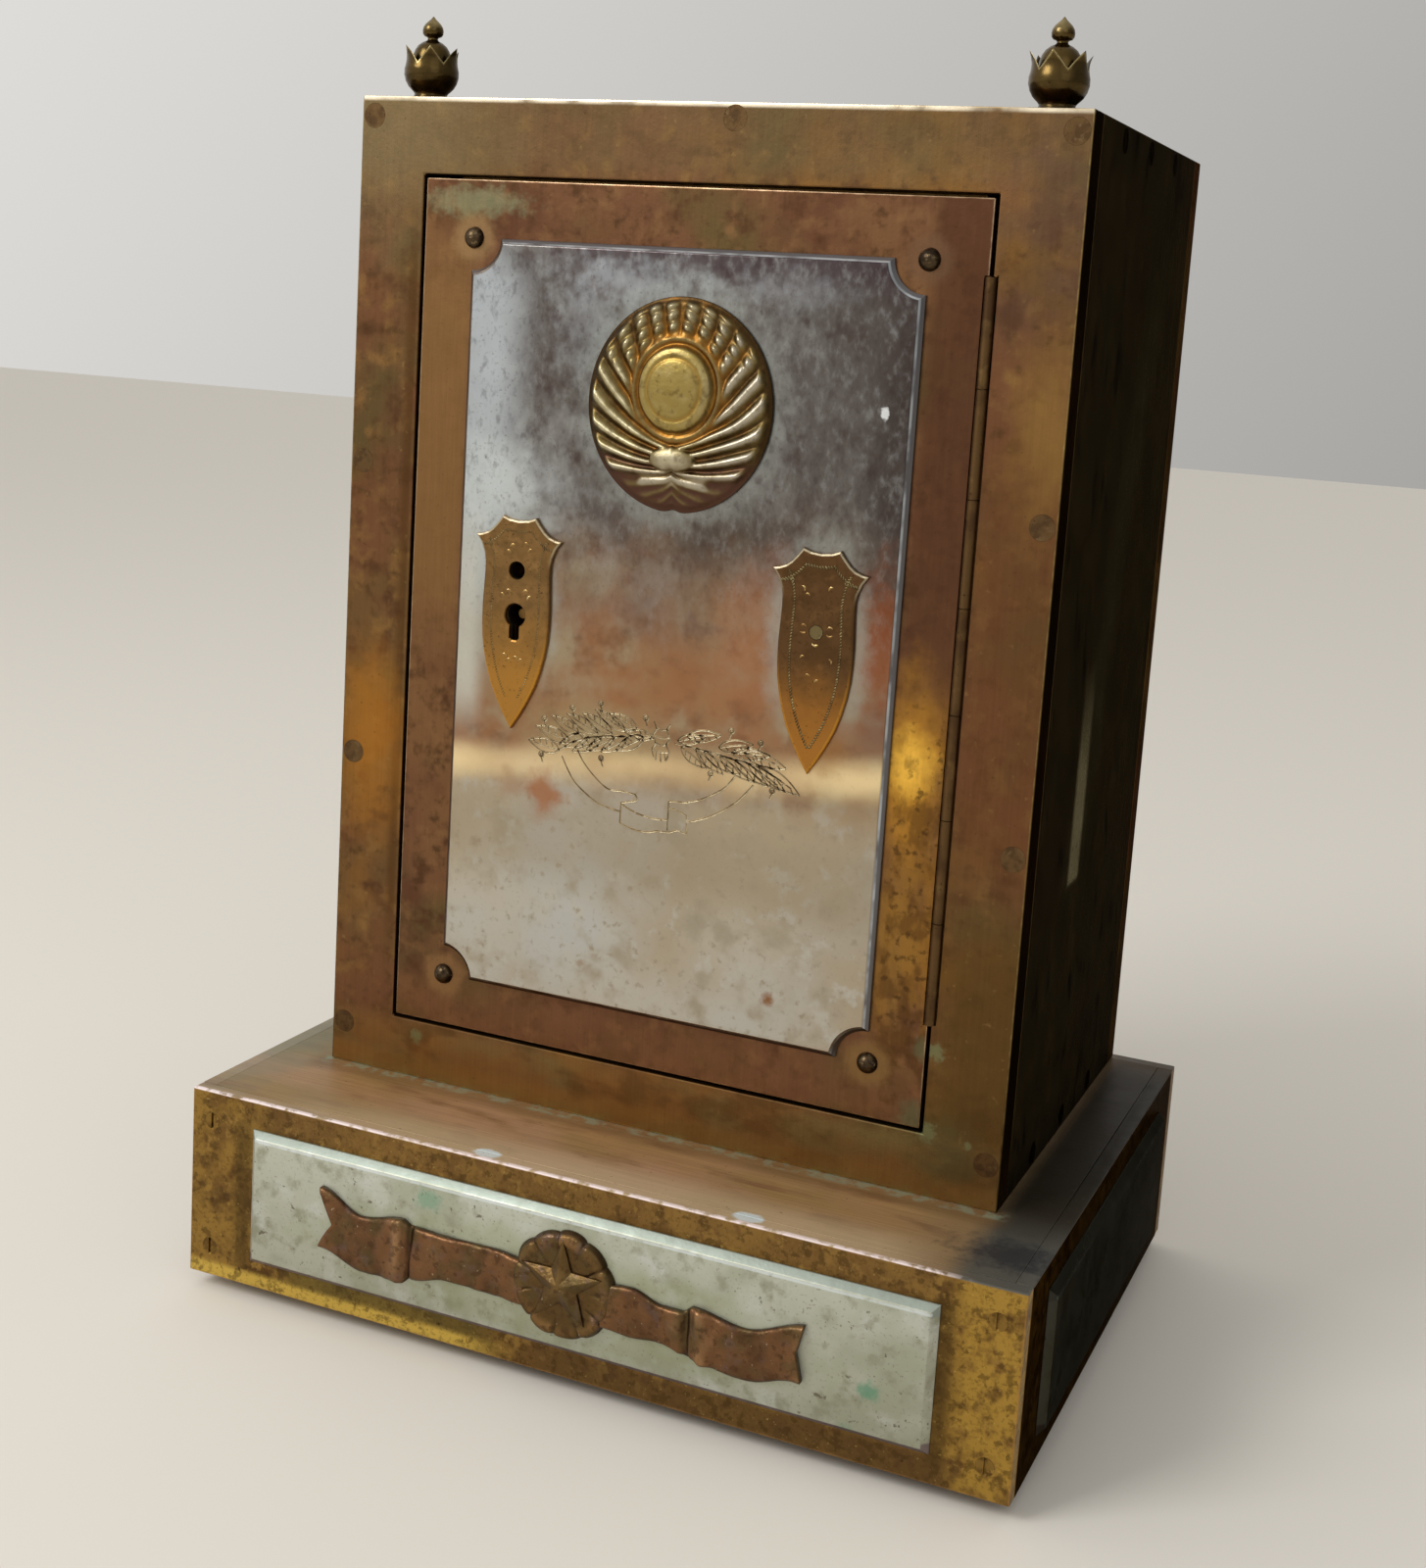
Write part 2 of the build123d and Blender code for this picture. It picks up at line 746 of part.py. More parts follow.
def keyhole_cut(front_y, depth):
    """Cuts the keyhole, a round with a slot below, from a plane inwards."""
    with BuildSketch(front_plane(front_y, lock_escutcheon_x, keyhole_z)) as outline:
        Circle(keyhole_radius)
        with Locations((0, -keyhole_drop / 2)):
            Rectangle(keyhole_slot, keyhole_drop)
    extrude(outline.sketch, amount=-depth, mode=Mode.SUBTRACT)


def pull_hole_cut(front_y, depth):
    """Cuts the small round hole above the keyhole."""
    with Locations(into((lock_escutcheon_x, front_y, base_high + pull_hole_rise), (0, 1, 0))):
        Cylinder(pull_hole_radius, depth, align=FLUSH, mode=Mode.SUBTRACT)


def stud_holes(front_y, depth):
    """Cuts the holes of the medallion's two studs and of the blank escutcheon's pin."""
    for lift in (-medallion_stud_spread, medallion_stud_spread):
        with Locations(into((medallion_x, front_y, medallion_z + lift), (0, 1, 0))):
            Cylinder(medallion_stud_radius + fit_play, depth, align=FLUSH, mode=Mode.SUBTRACT)
    with Locations(into((blank_escutcheon_x, front_y, escutcheon_pin_z), (0, 1, 0))):
        Cylinder(escutcheon_pin_radius + fit_play, depth, align=FLUSH, mode=Mode.SUBTRACT)


stud_depth = 5.0
stud_length = 4.9

with BuildPart() as door_plate:
    plain_box((door_left, body_front, door_low), (door_right, door_back, door_high))
    with Locations((hinge_x, hinge_y, hinge_middle_z)):
        Cylinder(
            knuckle_radius + knuckle_play, hinge_length + 2 * knuckle_play, mode=Mode.SUBTRACT
        )
    plain_box(
        (hinge_x - leaf_bed_reach, body_front, hinge_low),
        (door_right, leaf_bed_back, hinge_high),
        mode=Mode.SUBTRACT,
    )
    keyhole_cut(body_front, door_thick)
    pull_hole_cut(body_front, pull_hole_depth)
    stud_holes(body_front, stud_depth)
    with Locations(*[into((x, body_front, z), (0, 1, 0)) for x, z in door_rivet_places]):
        Cylinder(door_rivet_stem + fit_play, door_thick, align=FLUSH, mode=Mode.SUBTRACT)
    fastener_holes(lock_screw, lock_screw_places)
    fastener_holes(leaf_screw, leaf_screw_places(-1))
finish("door_plate", door_plate.part)

with BuildPart() as door_panel:
    panel_middle = ((panel_left + panel_right) / 2, (panel_low + panel_high) / 2)
    with BuildSketch(front_plane(body_front)):
        with Locations(panel_middle):
            Rectangle(panel_right - panel_left, panel_high - panel_low)
        with Locations(*door_rivet_places):
            Circle(panel_notch_radius, mode=Mode.SUBTRACT)
    extrude(amount=panel_stand)
    chamfer(door_panel.faces().sort_by(Axis.Y)[0].edges(), length=door_panel_bevel)
    keyhole_cut(panel_face, panel_stand)
    pull_hole_cut(panel_face, panel_stand)
    stud_holes(panel_face, panel_stand)
finish("door_panel", door_panel.part)

with BuildPart() as door_rivets:
    cap_radius = (door_rivet_radius**2 + door_rivet_rise**2) / (2 * door_rivet_rise)
    for x, z in door_rivet_places:
        with BuildSketch(Plane(origin=(x, body_front, z), x_dir=(1, 0, 0), z_dir=(0, 0, 1))):
            with BuildLine():
                Polyline((0, door_thick), (door_rivet_stem, door_thick), (door_rivet_stem, 0))
                Line((door_rivet_stem, 0), (door_rivet_radius, 0))
                RadiusArc((door_rivet_radius, 0), (0, -door_rivet_rise), cap_radius)
                Line((0, -door_rivet_rise), (0, door_thick))
            make_face()
        revolve(axis=Axis((x, 0, z), (0, 1, 0)))
finish("door_rivets", door_rivets.part)


# ---- The escutcheons ----
def escutcheon_face(centre_x):
    """The shield outline: a scooped top between two horns, a waist, and a long point below."""
    tip = (4.5, 51.8)
    horn = (11.7, 46.7)
    waist = (8.8, 39.0)
    belly = (9.1, 24.5)
    foot = (0.0, 0.0)
    with BuildSketch(front_plane(panel_face, centre_x, base_high + escutcheon_foot_rise)) as outline:
        with BuildLine():
            ThreePointArc((-tip[0], tip[1]), (0, tip[1] - 1.0), tip)
            ThreePointArc(tip, (7.4, 48.0), horn)
            ThreePointArc(horn, (9.5, 43.2), waist)
            ThreePointArc(waist, (9.2, 31.5), belly)
            ThreePointArc(belly, (6.0, 10.6), foot)
            ThreePointArc(foot, (-6.0, 10.6), (-belly[0], belly[1]))
            ThreePointArc((-belly[0], belly[1]), (-9.2, 31.5), (-waist[0], waist[1]))
            ThreePointArc((-waist[0], waist[1]), (-9.5, 43.2), (-horn[0], horn[1]))
            ThreePointArc((-horn[0], horn[1]), (-7.4, 48.0), (-tip[0], tip[1]))
        make_face()
    extrude(outline.sketch, amount=escutcheon_thick)


with BuildPart() as lock_escutcheon:
    escutcheon_face(lock_escutcheon_x)
    keyhole_cut(panel_face - escutcheon_thick, escutcheon_thick)
    pull_hole_cut(panel_face - escutcheon_thick, escutcheon_thick)
finish("lock_escutcheon", lock_escutcheon.part)

with BuildPart() as blank_escutcheon:
    escutcheon_face(blank_escutcheon_x)
    stud_holes(panel_face - escutcheon_thick, escutcheon_thick)
finish("blank_escutcheon", blank_escutcheon.part)

with BuildPart() as escutcheon_pin:
    pin_face = panel_face - escutcheon_thick
    with Locations(into((blank_escutcheon_x, pin_face, escutcheon_pin_z), (0, 1, 0))):
        Cylinder(
            escutcheon_pin_radius, escutcheon_thick + panel_stand + stud_length, align=FLUSH
        )
finish("escutcheon_pin", escutcheon_pin.part)

# ---- The medallion: an oval rim, a ring of lobes, and a round boss in the middle ----
medallion_lobes = 28
medallion_rim_thick = 1.6
medallion_dome = 2.6
lobe_rim_margin = 3.0
lobe_start = 7.0
lobe_width = 1.5
lobe_rise = 2.2
boss_radius = 8.5
boss_rise = 5.6
boss_roll = 1.6
with BuildPart() as medallion:
    with BuildSketch(front_plane(panel_face, medallion_x, medallion_z)):
        Ellipse(medallion_half_width, medallion_half_height)
    extrude(amount=medallion_rim_thick)
    with BuildSketch(front_plane(panel_face - medallion_rim_thick, medallion_x, medallion_z)):
        Ellipse(medallion_half_width - 2.0, medallion_half_height - 2.0)
    with BuildSketch(
        front_plane(panel_face - medallion_rim_thick - medallion_dome, medallion_x, medallion_z)
    ):
        Ellipse(medallion_half_width - 9.0, medallion_half_height - 9.0)
    loft()
    # Lobes that run out from the boss to the rim
    for n in range(medallion_lobes):
        turn = 2 * pi * n / medallion_lobes
        reach = hypot(
            (medallion_half_width - lobe_rim_margin) * cos(turn),
            (medallion_half_height - lobe_rim_margin) * sin(turn),
        )
        lobe_plane = Plane(
            origin=(medallion_x, panel_face, medallion_z),
            x_dir=(cos(turn), 0, sin(turn)),
            z_dir=(0, -1, 0),
        )
        with BuildSketch(lobe_plane):
            with Locations(((reach + lobe_start) / 2, 0)):
                Rectangle(reach - lobe_start, lobe_width)
        extrude(amount=medallion_rim_thick + lobe_rise)
    # The round boss, with a rolled edge
    boss_plane = Plane(origin=(medallion_x, panel_face, medallion_z), x_dir=(1, 0, 0), z_dir=(0, 0, 1))
    with BuildSketch(boss_plane):
        with BuildLine():
            roll_low = (boss_radius, boss_roll - boss_rise)
            roll_high = (boss_radius - boss_roll, -boss_rise)
            Polyline((0, -boss_rise), (0, -1), (boss_radius, -1), roll_low)
            RadiusArc(roll_low, roll_high, -boss_roll)
            Line(roll_high, (0, -boss_rise))
        make_face()
    revolve(axis=Axis((medallion_x, 0, medallion_z), (0, 1, 0)))
    with BuildSketch(front_plane(panel_face, medallion_x, medallion_z)):
        with Locations((0, -medallion_stud_spread), (0, medallion_stud_spread)):
            Circle(medallion_stud_radius)
    extrude(amount=-(panel_stand + stud_length))
finish("medallion", medallion.part)

# ---- The hinge: two let-in leaves with seven knuckles round one pin ----
knuckle_step = hinge_length / hinge_knuckles


def hinge_leaf(side, bore_radius):
    """One leaf. Side 1 is the frame's and has the end knuckles, side -1 is the door's."""
    plate_xs = sorted((side * leaf_apart, side * (leaf_apart + leaf_thick)))
    plain_box(
        (hinge_x + plate_xs[0], hinge_y + leaf_start, hinge_low + fit_play),
        (hinge_x + plate_xs[1], hinge_y + leaf_end, hinge_high - fit_play),
    )
    first = 0 if side > 0 else 1
    for n in range(first, hinge_knuckles, 2):
        low = hinge_low + n * knuckle_step + knuckle_play / 2
        high = hinge_low + (n + 1) * knuckle_step - knuckle_play / 2
        plain_box(
            (hinge_x + plate_xs[0], hinge_y, low),
            (hinge_x + plate_xs[1], hinge_y + leaf_start, high),
        )
        with Locations((hinge_x, hinge_y, low)):
            Cylinder(knuckle_radius, high - low, align=FLUSH)
    with Locations((hinge_x, hinge_y, hinge_middle_z)):
        Cylinder(bore_radius, hinge_length, mode=Mode.SUBTRACT)
    fastener_holes(leaf_screw, leaf_screw_places(side))


with BuildPart() as hinge_frame_leaf:
    hinge_leaf(1, hinge_pin_radius)
finish("hinge_frame_leaf", hinge_frame_leaf.part)

with BuildPart() as hinge_door_leaf:
    hinge_leaf(-1, hinge_pin_radius + hinge_running_play)
finish("hinge_door_leaf", hinge_door_leaf.part)

with BuildPart() as hinge_pin:
    with Locations((hinge_x, hinge_y, hinge_middle_z)):
        Cylinder(hinge_pin_radius, hinge_length - knuckle_play)
finish("hinge_pin", hinge_pin.part)

with BuildPart() as hinge_frame_screws:
    with Locations(*leaf_screw_places(1)):
        countersunk(leaf_screw)
finish("hinge_frame_screws", hinge_frame_screws.part)

with BuildPart() as hinge_door_screws:
    with Locations(*leaf_screw_places(-1)):
        countersunk(leaf_screw)
finish("hinge_door_screws", hinge_door_screws.part)

# ---- The lock on the back of the door ----
with BuildPart() as lock_case:
    plain_box((lock_left, door_back, lock_low), (lock_right, case_rim, lock_high))
    plain_box(
        (lock_left + case_wall, door_back + case_wall, lock_low + case_wall),
        (lock_right - case_wall, case_rim, lock_high - case_wall),
        mode=Mode.SUBTRACT,
    )
    with Locations(*[into((x, door_back, z), (0, 1, 0)) for x, z in pillar_places]):
        Cylinder(pillar_radius, case_depth, align=FLUSH)
    # The window that the bolt slides through
    plain_box(
        (lock_left, bolt_front - bolt_play, bolt_low - bolt_play),
        (lock_left + case_wall, bolt_front + bolt_thick + bolt_play, bolt_high + bolt_play),
        mode=Mode.SUBTRACT,
    )
    keyhole_cut(door_back, case_wall)
    fastener_holes(lock_screw, lock_screw_places)
    fastener_holes(cover_screw, cover_screw_places)
    with Locations(into((guide_x, door_back, bolt_middle_z), (0, 1, 0))):
        Cylinder(guide_radius + pin_play, case_wall, align=FLUSH, mode=Mode.SUBTRACT)
finish("lock_case", lock_case.part)

with BuildPart() as lock_cover:
    plain_box((lock_left, case_rim, lock_low), (lock_right, cover_back, lock_high))
    fastener_holes(cover_screw, cover_screw_places)
    with Locations(into((lock_escutcheon_x, case_rim, keyhole_z), (0, 1, 0))):
        Cylinder(key_post_radius + pin_play, cover_thick, align=FLUSH, mode=Mode.SUBTRACT)
finish("lock_cover", lock_cover.part)

with BuildPart() as lock_bolt:
    plain_box(
        (bolt_tip_x, bolt_front, bolt_low), (bolt_tail_x, bolt_front + bolt_thick, bolt_high)
    )
    chamfer(lock_bolt.faces().sort_by(Axis.X)[0].edges(), length=bolt_tip_bevel)
    # The slot that rides on the guide post, and the notch that the key's bit turns in
    slot_middle = guide_x + bolt_throw / 2
    with BuildSketch(front_plane(bolt_front, slot_middle, bolt_middle_z)):
        SlotCenterToCenter(bolt_throw, 2 * (guide_radius + guide_play))
    extrude(amount=-bolt_thick, mode=Mode.SUBTRACT)
    plain_box(
        (lock_escutcheon_x - talon_width / 2, bolt_front, bolt_low),
        (lock_escutcheon_x + talon_width / 2, bolt_front + bolt_thick, bolt_low + talon_depth),
        mode=Mode.SUBTRACT,
    )
finish("lock_bolt", lock_bolt.part)

with BuildPart() as bolt_guide:
    with Locations(into((guide_x, door_back, bolt_middle_z), (0, 1, 0))):
        Cylinder(guide_radius, case_depth - guide_play, align=FLUSH)
finish("bolt_guide", bolt_guide.part)

with BuildPart() as key_post:
    with Locations(into((lock_escutcheon_x, body_front + key_post_start, keyhole_z), (0, 1, 0))):
        Cylinder(key_post_radius, cover_back - body_front - key_post_start, align=FLUSH)
finish("key_post", key_post.part)

with BuildPart() as bolt_spring:
    spring_top = lock_high - case_wall
    spring_foot = bolt_high + spring_gap
    with BuildSketch(front_plane(bolt_front)):
        with BuildLine():
            spring_left = lock_middle_x - spring_half_span
            spring_right = lock_middle_x + spring_half_span
            ThreePointArc(
                (spring_left, spring_top),
                (lock_middle_x, spring_foot + spring_thick),
                (spring_right, spring_top),
            )
            Line((spring_right, spring_top), (spring_right + spring_thick, spring_top))
            ThreePointArc(
                (spring_right + spring_thick, spring_top),
                (lock_middle_x, spring_foot),
                (spring_left - spring_thick, spring_top),
            )
            Line((spring_left - spring_thick, spring_top), (spring_left, spring_top))
        make_face()
    extrude(amount=-bolt_thick)
finish("bolt_spring", bolt_spring.part)

with BuildPart() as lock_screws:
    slotted_screws(lock_screw, lock_screw_places)
finish("lock_screws", lock_screws.part)

with BuildPart() as cover_screws:
    slotted_screws(cover_screw, cover_screw_places)
finish("cover_screws", cover_screws.part)
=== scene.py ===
"""The looks of a small brass safe with a nickelled door panel, around its CAD frame."""

import math
import random

import bmesh
import bpy
from mathutils import Matrix, Vector


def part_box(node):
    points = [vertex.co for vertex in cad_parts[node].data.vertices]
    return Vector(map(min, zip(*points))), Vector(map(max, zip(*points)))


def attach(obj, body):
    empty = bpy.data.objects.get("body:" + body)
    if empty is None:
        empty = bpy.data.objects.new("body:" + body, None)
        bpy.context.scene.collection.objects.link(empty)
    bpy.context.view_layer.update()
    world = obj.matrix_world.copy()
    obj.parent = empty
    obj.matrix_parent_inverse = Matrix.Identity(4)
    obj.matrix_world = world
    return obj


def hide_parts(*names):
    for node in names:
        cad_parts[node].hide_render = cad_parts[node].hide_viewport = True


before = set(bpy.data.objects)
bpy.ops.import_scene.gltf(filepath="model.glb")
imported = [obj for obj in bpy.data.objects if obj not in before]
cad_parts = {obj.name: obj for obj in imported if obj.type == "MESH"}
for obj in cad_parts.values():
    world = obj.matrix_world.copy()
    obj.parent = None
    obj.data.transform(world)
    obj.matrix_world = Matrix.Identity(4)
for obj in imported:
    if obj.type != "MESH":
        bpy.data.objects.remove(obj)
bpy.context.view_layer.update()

MM = 0.001
IMAGE_WIDTH = 1455
IMAGE_HEIGHT = 1600

BODY_FACE = -38.75
PANEL_FACE = -40.75
BASE_FACE = -73.75
BASE_PANEL_FACE = -75.75
BODY_TOP = 297.0

MEDALLION_MIDDLE = (0.0, 228.8)
MEDALLION_HALF = (23.2, 24.7)
LOCK_ESCUTCHEON_X = -40.0
BLANK_ESCUTCHEON_X = 37.5
ESCUTCHEON_FOOT_Z = 147.7
ESCUTCHEON_FACE = PANEL_FACE - 1.2
KEYHOLE_Z = 175.6
PULL_HOLE_Z = 186.5
PIN_Z = 180.6
ROSETTE_MIDDLE = (0.0, 28.25)
FINIAL_X = 78.5
FINIAL_Y = -26.75


def srgb(red, green, blue):
    """A colour given as it looks on a screen, 0 to 255, as a linear colour."""
    linear = []
    for part in (red, green, blue):
        value = part / 255
        linear.append(value / 12.92 if value <= 0.04045 else ((value + 0.055) / 1.055) ** 2.4)
    return (*linear, 1.0)


def add_object(name, data):
    made = bpy.data.objects.new(name, data)
    bpy.context.scene.collection.objects.link(made)
    return made


# ---- Camera and studio ----
def make_camera():
    """The photograph's viewpoint, above the base and to the right of the front."""
    focal_px = 2063.1
    middle_px = (742.3, 669.4)
    place = Vector((194.9, -465.7, 247.9))
    right = Vector((0.915, 0.397, 0.063)).normalized()
    down = Vector((0.121, -0.124, -0.985))
    forward = right.cross(down).normalized() * -1
    if forward.y < 0:
        forward = -forward
    down = forward.cross(right).normalized()
    camera_data = bpy.data.cameras.new("view_camera")
    camera = add_object("view_camera", camera_data)
    camera_data.sensor_width = 36.0
    camera_data.lens = focal_px / IMAGE_HEIGHT * camera_data.sensor_width
    camera_data.shift_x = (IMAGE_WIDTH / 2 - middle_px[0]) / IMAGE_HEIGHT
    camera_data.shift_y = (middle_px[1] - IMAGE_HEIGHT / 2) / IMAGE_HEIGHT
    camera_data.clip_start = 0.01
    camera_data.clip_end = 50.0
    turn = Matrix((right, -down, -forward)).transposed().to_4x4()
    camera.matrix_world = Matrix.Translation(place * MM) @ turn
    bpy.context.scene.camera = camera


def make_world():
    """A pale room that is brighter on the left, where the window of a studio would be."""
    world = bpy.data.worlds.new("studio")
    world.use_nodes = True
    nodes, links = world.node_tree.nodes, world.node_tree.links
    background = nodes["Background"]
    direction = nodes.new("ShaderNodeTexCoord")
    towards = nodes.new("ShaderNodeVectorMath")
    towards.operation = "DOT_PRODUCT"
    towards.inputs[1].default_value = Vector((-0.75, -0.35, 0.55)).normalized()
    level = nodes.new("ShaderNodeMapRange")
    level.interpolation_type = "SMOOTHSTEP"
    level.inputs["From Min"].default_value = -0.7
    level.inputs["From Max"].default_value = 0.9
    level.inputs["To Min"].default_value = 0.32
    level.inputs["To Max"].default_value = 0.95
    links.new(direction.outputs["Generated"], towards.inputs[0])
    links.new(towards.outputs["Value"], level.inputs["Value"])
    links.new(level.outputs["Result"], background.inputs["Strength"])
    background.inputs["Color"].default_value = srgb(250, 248, 244)
    bpy.context.scene.world = world
    bpy.context.scene.view_settings.view_transform = "Standard"


def add_softbox(name, place, target, size, watts):
    """A square soft light that looks at a point; places are in metres."""
    light = bpy.data.lights.new(name, "AREA")
    light.shape = "SQUARE"
    light.size = size
    light.energy = watts
    lamp = add_object(name, light)
    lamp.location = place
    lamp.rotation_euler = (Vector(target) - Vector(place)).to_track_quat("-Z", "Y").to_euler()


def make_floor():
    """A plain pale floor that runs out of sight."""
    reach = 4.0
    mesh = bpy.data.meshes.new("floor")
    corners = [(-reach, -reach, 0), (reach, -reach, 0), (reach, reach, 0), (-reach, reach, 0)]
    mesh.from_pydata(corners, [], [(0, 1, 2, 3)])
    floor = add_object("floor", mesh)
    paint = bpy.data.materials.new("floor_paper")
    paint.use_nodes = True
    shader = paint.node_tree.nodes["Principled BSDF"]
    shader.inputs["Base Color"].default_value = srgb(222, 217, 208)
    shader.inputs["Roughness"].default_value = 0.9
    mesh.materials.append(paint)


# ---- Painting with nodes ----
class Finish:
    """One node material. Its patterns are laid out in millimetres of the part's own frame."""

    def __init__(self, name, metallic=1.0, roughness=0.4, edge_tint=None):
        self.material = bpy.data.materials.new(name)
        self.material.use_nodes = True
        self.tree = self.material.node_tree
        self.shader = self.tree.nodes["Principled BSDF"]
        self.shader.inputs["Metallic"].default_value = metallic
        self.shader.inputs["Roughness"].default_value = roughness
        if edge_tint is not None:
            self.shader.inputs["Specular Tint"].default_value = edge_tint
        coordinates = self.add("ShaderNodeTexCoord")
        scaled = self.add("ShaderNodeVectorMath", operation="SCALE")
        self.feed(scaled.inputs[0], coordinates.outputs["Object"])
        scaled.inputs["Scale"].default_value = 1 / MM
        self.place = scaled.outputs["Vector"]
        split = self.add("ShaderNodeSeparateXYZ")
        self.feed(split.inputs[0], self.place)
        self.x, self.y, self.z = split.outputs
        self.made = {}

    def add(self, kind, **settings):
        node = self.tree.nodes.new(kind)
        for name, value in settings.items():
            setattr(node, name, value)
        return node

    def feed(self, socket, value):
        """A socket takes another node's output, a number, a point or a colour."""
        if isinstance(value, bpy.types.NodeSocket):
            self.tree.links.new(value, socket)
        else:
            socket.default_value = value

    def math(self, operation, first, second=0.0, third=0.0):
        node = self.add("ShaderNodeMath", operation=operation)
        for socket, value in zip(node.inputs, (first, second, third)):
            self.feed(socket, value)
        return node.outputs[0]

    def rise(self, value, low, high):
        """0 at low and 1 at high, smooth between them; low may be the higher number."""
        node = self.add("ShaderNodeMapRange", interpolation_type="SMOOTHSTEP")
        self.feed(node.inputs["Value"], value)
        node.inputs["From Min"].default_value = low
        node.inputs["From Max"].default_value = high
        return node.outputs["Result"]

    def span(self, value, low, high, soft):
        """1 between low and high, 0 outside, over a soft margin."""
        return self.math(
            "MULTIPLY",
            self.rise(value, low - soft, low + soft),
            self.rise(value, high + soft, high - soft),
        )

    def noise(self, size, stretch=(1, 1, 1), shift=0.0, detail=3.0, rough=0.55):
        """Clouds about 0.5, each about size mm wide; stretch draws them out along x, y or z."""
        key = (size, stretch, shift, detail, rough)
        if key not in self.made:
            place = self.add("ShaderNodeMapping")
            self.feed(place.inputs["Vector"], self.place)
            place.inputs["Location"].default_value = (shift, 1.7 * shift, 0.6 * shift)
            place.inputs["Scale"].default_value = [1 / (size * along) for along in stretch]
            clouds = self.add("ShaderNodeTexNoise")
            self.feed(clouds.inputs["Vector"], place.outputs["Vector"])
            clouds.inputs["Scale"].default_value = 1.0
            clouds.inputs["Detail"].default_value = detail
            clouds.inputs["Roughness"].default_value = rough
            self.made[key] = clouds.outputs["Fac"]
        return self.made[key]

    def clouds(self, size, low=0.42, high=0.62, **options):
        """Patches of 1 in a ground of 0, where the noise is above low to high."""
        return self.rise(self.noise(size, **options), low, high)

    def mix(self, share, first, second, blend="MIX"):
        """Colours are sockets, linear colours or, as three numbers, colours as on a screen."""
        node = self.add("ShaderNodeMix", data_type="RGBA", blend_type=blend)
        sockets = {socket.identifier: socket for socket in node.inputs}
        self.feed(sockets["Factor_Float"], share)
        for name, colour in (("A_Color", first), ("B_Color", second)):
            on_screen = isinstance(colour, tuple) and len(colour) == 3
            self.feed(sockets[name], srgb(*colour) if on_screen else colour)
        return [out for out in node.outputs if out.identifier == "Result_Color"][0]

    def lay(self, colour, *shares):
        """Lays a colour over what is there, where the product of the shares is high."""
        self.ground = self.mix(self.times(*shares), self.ground, colour)

    def spot(self, x, z=None, soft=0.4, ragged=0.3, grain=4.0, shift=0.0, y=None):
        """1 inside an oval stain and 0 outside; each axis is given as (middle, half size)."""
        place = self.add("ShaderNodeMapping")
        self.feed(place.inputs["Vector"], self.place)
        axes = [(0.0, math.inf) if axis is None else axis for axis in (x, y, z)]
        place.inputs["Scale"].default_value = [1 / half for middle, half in axes]
        place.inputs["Location"].default_value = [-middle / half for middle, half in axes]
        length = self.add("ShaderNodeVectorMath", operation="LENGTH")
        self.feed(length.inputs[0], place.outputs["Vector"])
        uneven = self.noise(grain, shift=shift)
        distance = self.math("MULTIPLY_ADD", uneven, 4 * ragged, length.outputs["Value"])
        distance = self.math("SUBTRACT", distance, 2 * ragged)
        return self.rise(distance, 1 + soft, 1 - soft)

    def times(self, *shares):
        result = shares[0]
        for share in shares[1:]:
            result = self.math("MULTIPLY", result, share)
        return result

    def edge(self, low, high, width, ragged=0.5, grain=3.0):
        """1 along the edges of a box and 0 over its faces; the wear is uneven along each edge."""
        gaps = []
        for value, first, last in zip((self.x, self.y, self.z), low, high):
            middle, half = (first + last) / 2, (last - first) / 2
            away = self.math("ABSOLUTE", self.math("SUBTRACT", value, middle))
            gaps.append(self.math("SUBTRACT", half, away))
        smaller = self.math("MINIMUM", gaps[0], gaps[1])
        larger = self.math("MAXIMUM", gaps[0], gaps[1])
        median = self.math("MAXIMUM", smaller, self.math("MINIMUM", larger, gaps[2]))
        uneven = self.math("MULTIPLY", self.noise(grain), 2 * ragged * width)
        return self.rise(self.math("ADD", median, uneven), width * (1 + ragged), width * 0.4)

    def bump(self, height, depth, detail=3.0, stretch=(1, 1, 1)):
        """Roughens the surface with a height or a size of noise; depth is how deep 1 is, in mm."""
        if not isinstance(height, bpy.types.NodeSocket):
            height = self.noise(height, stretch=stretch, detail=detail)
        node = self.add("ShaderNodeBump")
        node.inputs["Distance"].default_value = depth * MM
        self.feed(node.inputs["Height"], height)
        if self.shader.inputs["Normal"].is_linked:
            self.feed(node.inputs["Normal"], self.shader.inputs["Normal"].links[0].from_socket)
        self.feed(self.shader.inputs["Normal"], node.outputs["Normal"])

    def attribute(self, name):
        return self.add("ShaderNodeAttribute", attribute_name=name).outputs["Fac"]

    def satin(self, size, low, high, shift=51):
        """Uneven roughness between two numbers."""
        node = self.add("ShaderNodeMapRange")
        self.feed(node.inputs["Value"], self.noise(size, shift=shift))
        node.inputs["To Min"].default_value = low
        node.inputs["To Max"].default_value = high
        self.feed(self.shader.inputs["Roughness"], node.outputs["Result"])

    def ended(self, roughness, *bumps):
        """The colour, the roughness (size, low, high) and the bumps (size, depth, detail, stretch)."""
        self.feed(self.shader.inputs["Base Color"], self.ground)
        self.satin(*roughness)
        for bump in bumps:
            self.bump(*bump)
        return self

    def streaks(self, stretch, amount, size):
        """Fine drawn-out strokes that lighten and darken the colour a little."""
        tone = self.add("ShaderNodeMapRange")
        self.feed(tone.inputs["Value"], self.noise(size, stretch=stretch, detail=2.0))
        for name, value in (
            ("From Min", 0.3), ("From Max", 0.7), ("To Min", 1 - amount), ("To Max", 1 + amount),
        ):
            tone.inputs[name].default_value = value
        shade = self.add("ShaderNodeCombineXYZ")
        for socket in shade.inputs:
            self.feed(socket, tone.outputs["Result"])
        self.ground = self.mix(1.0, self.ground, shade.outputs["Vector"], "MULTIPLY")


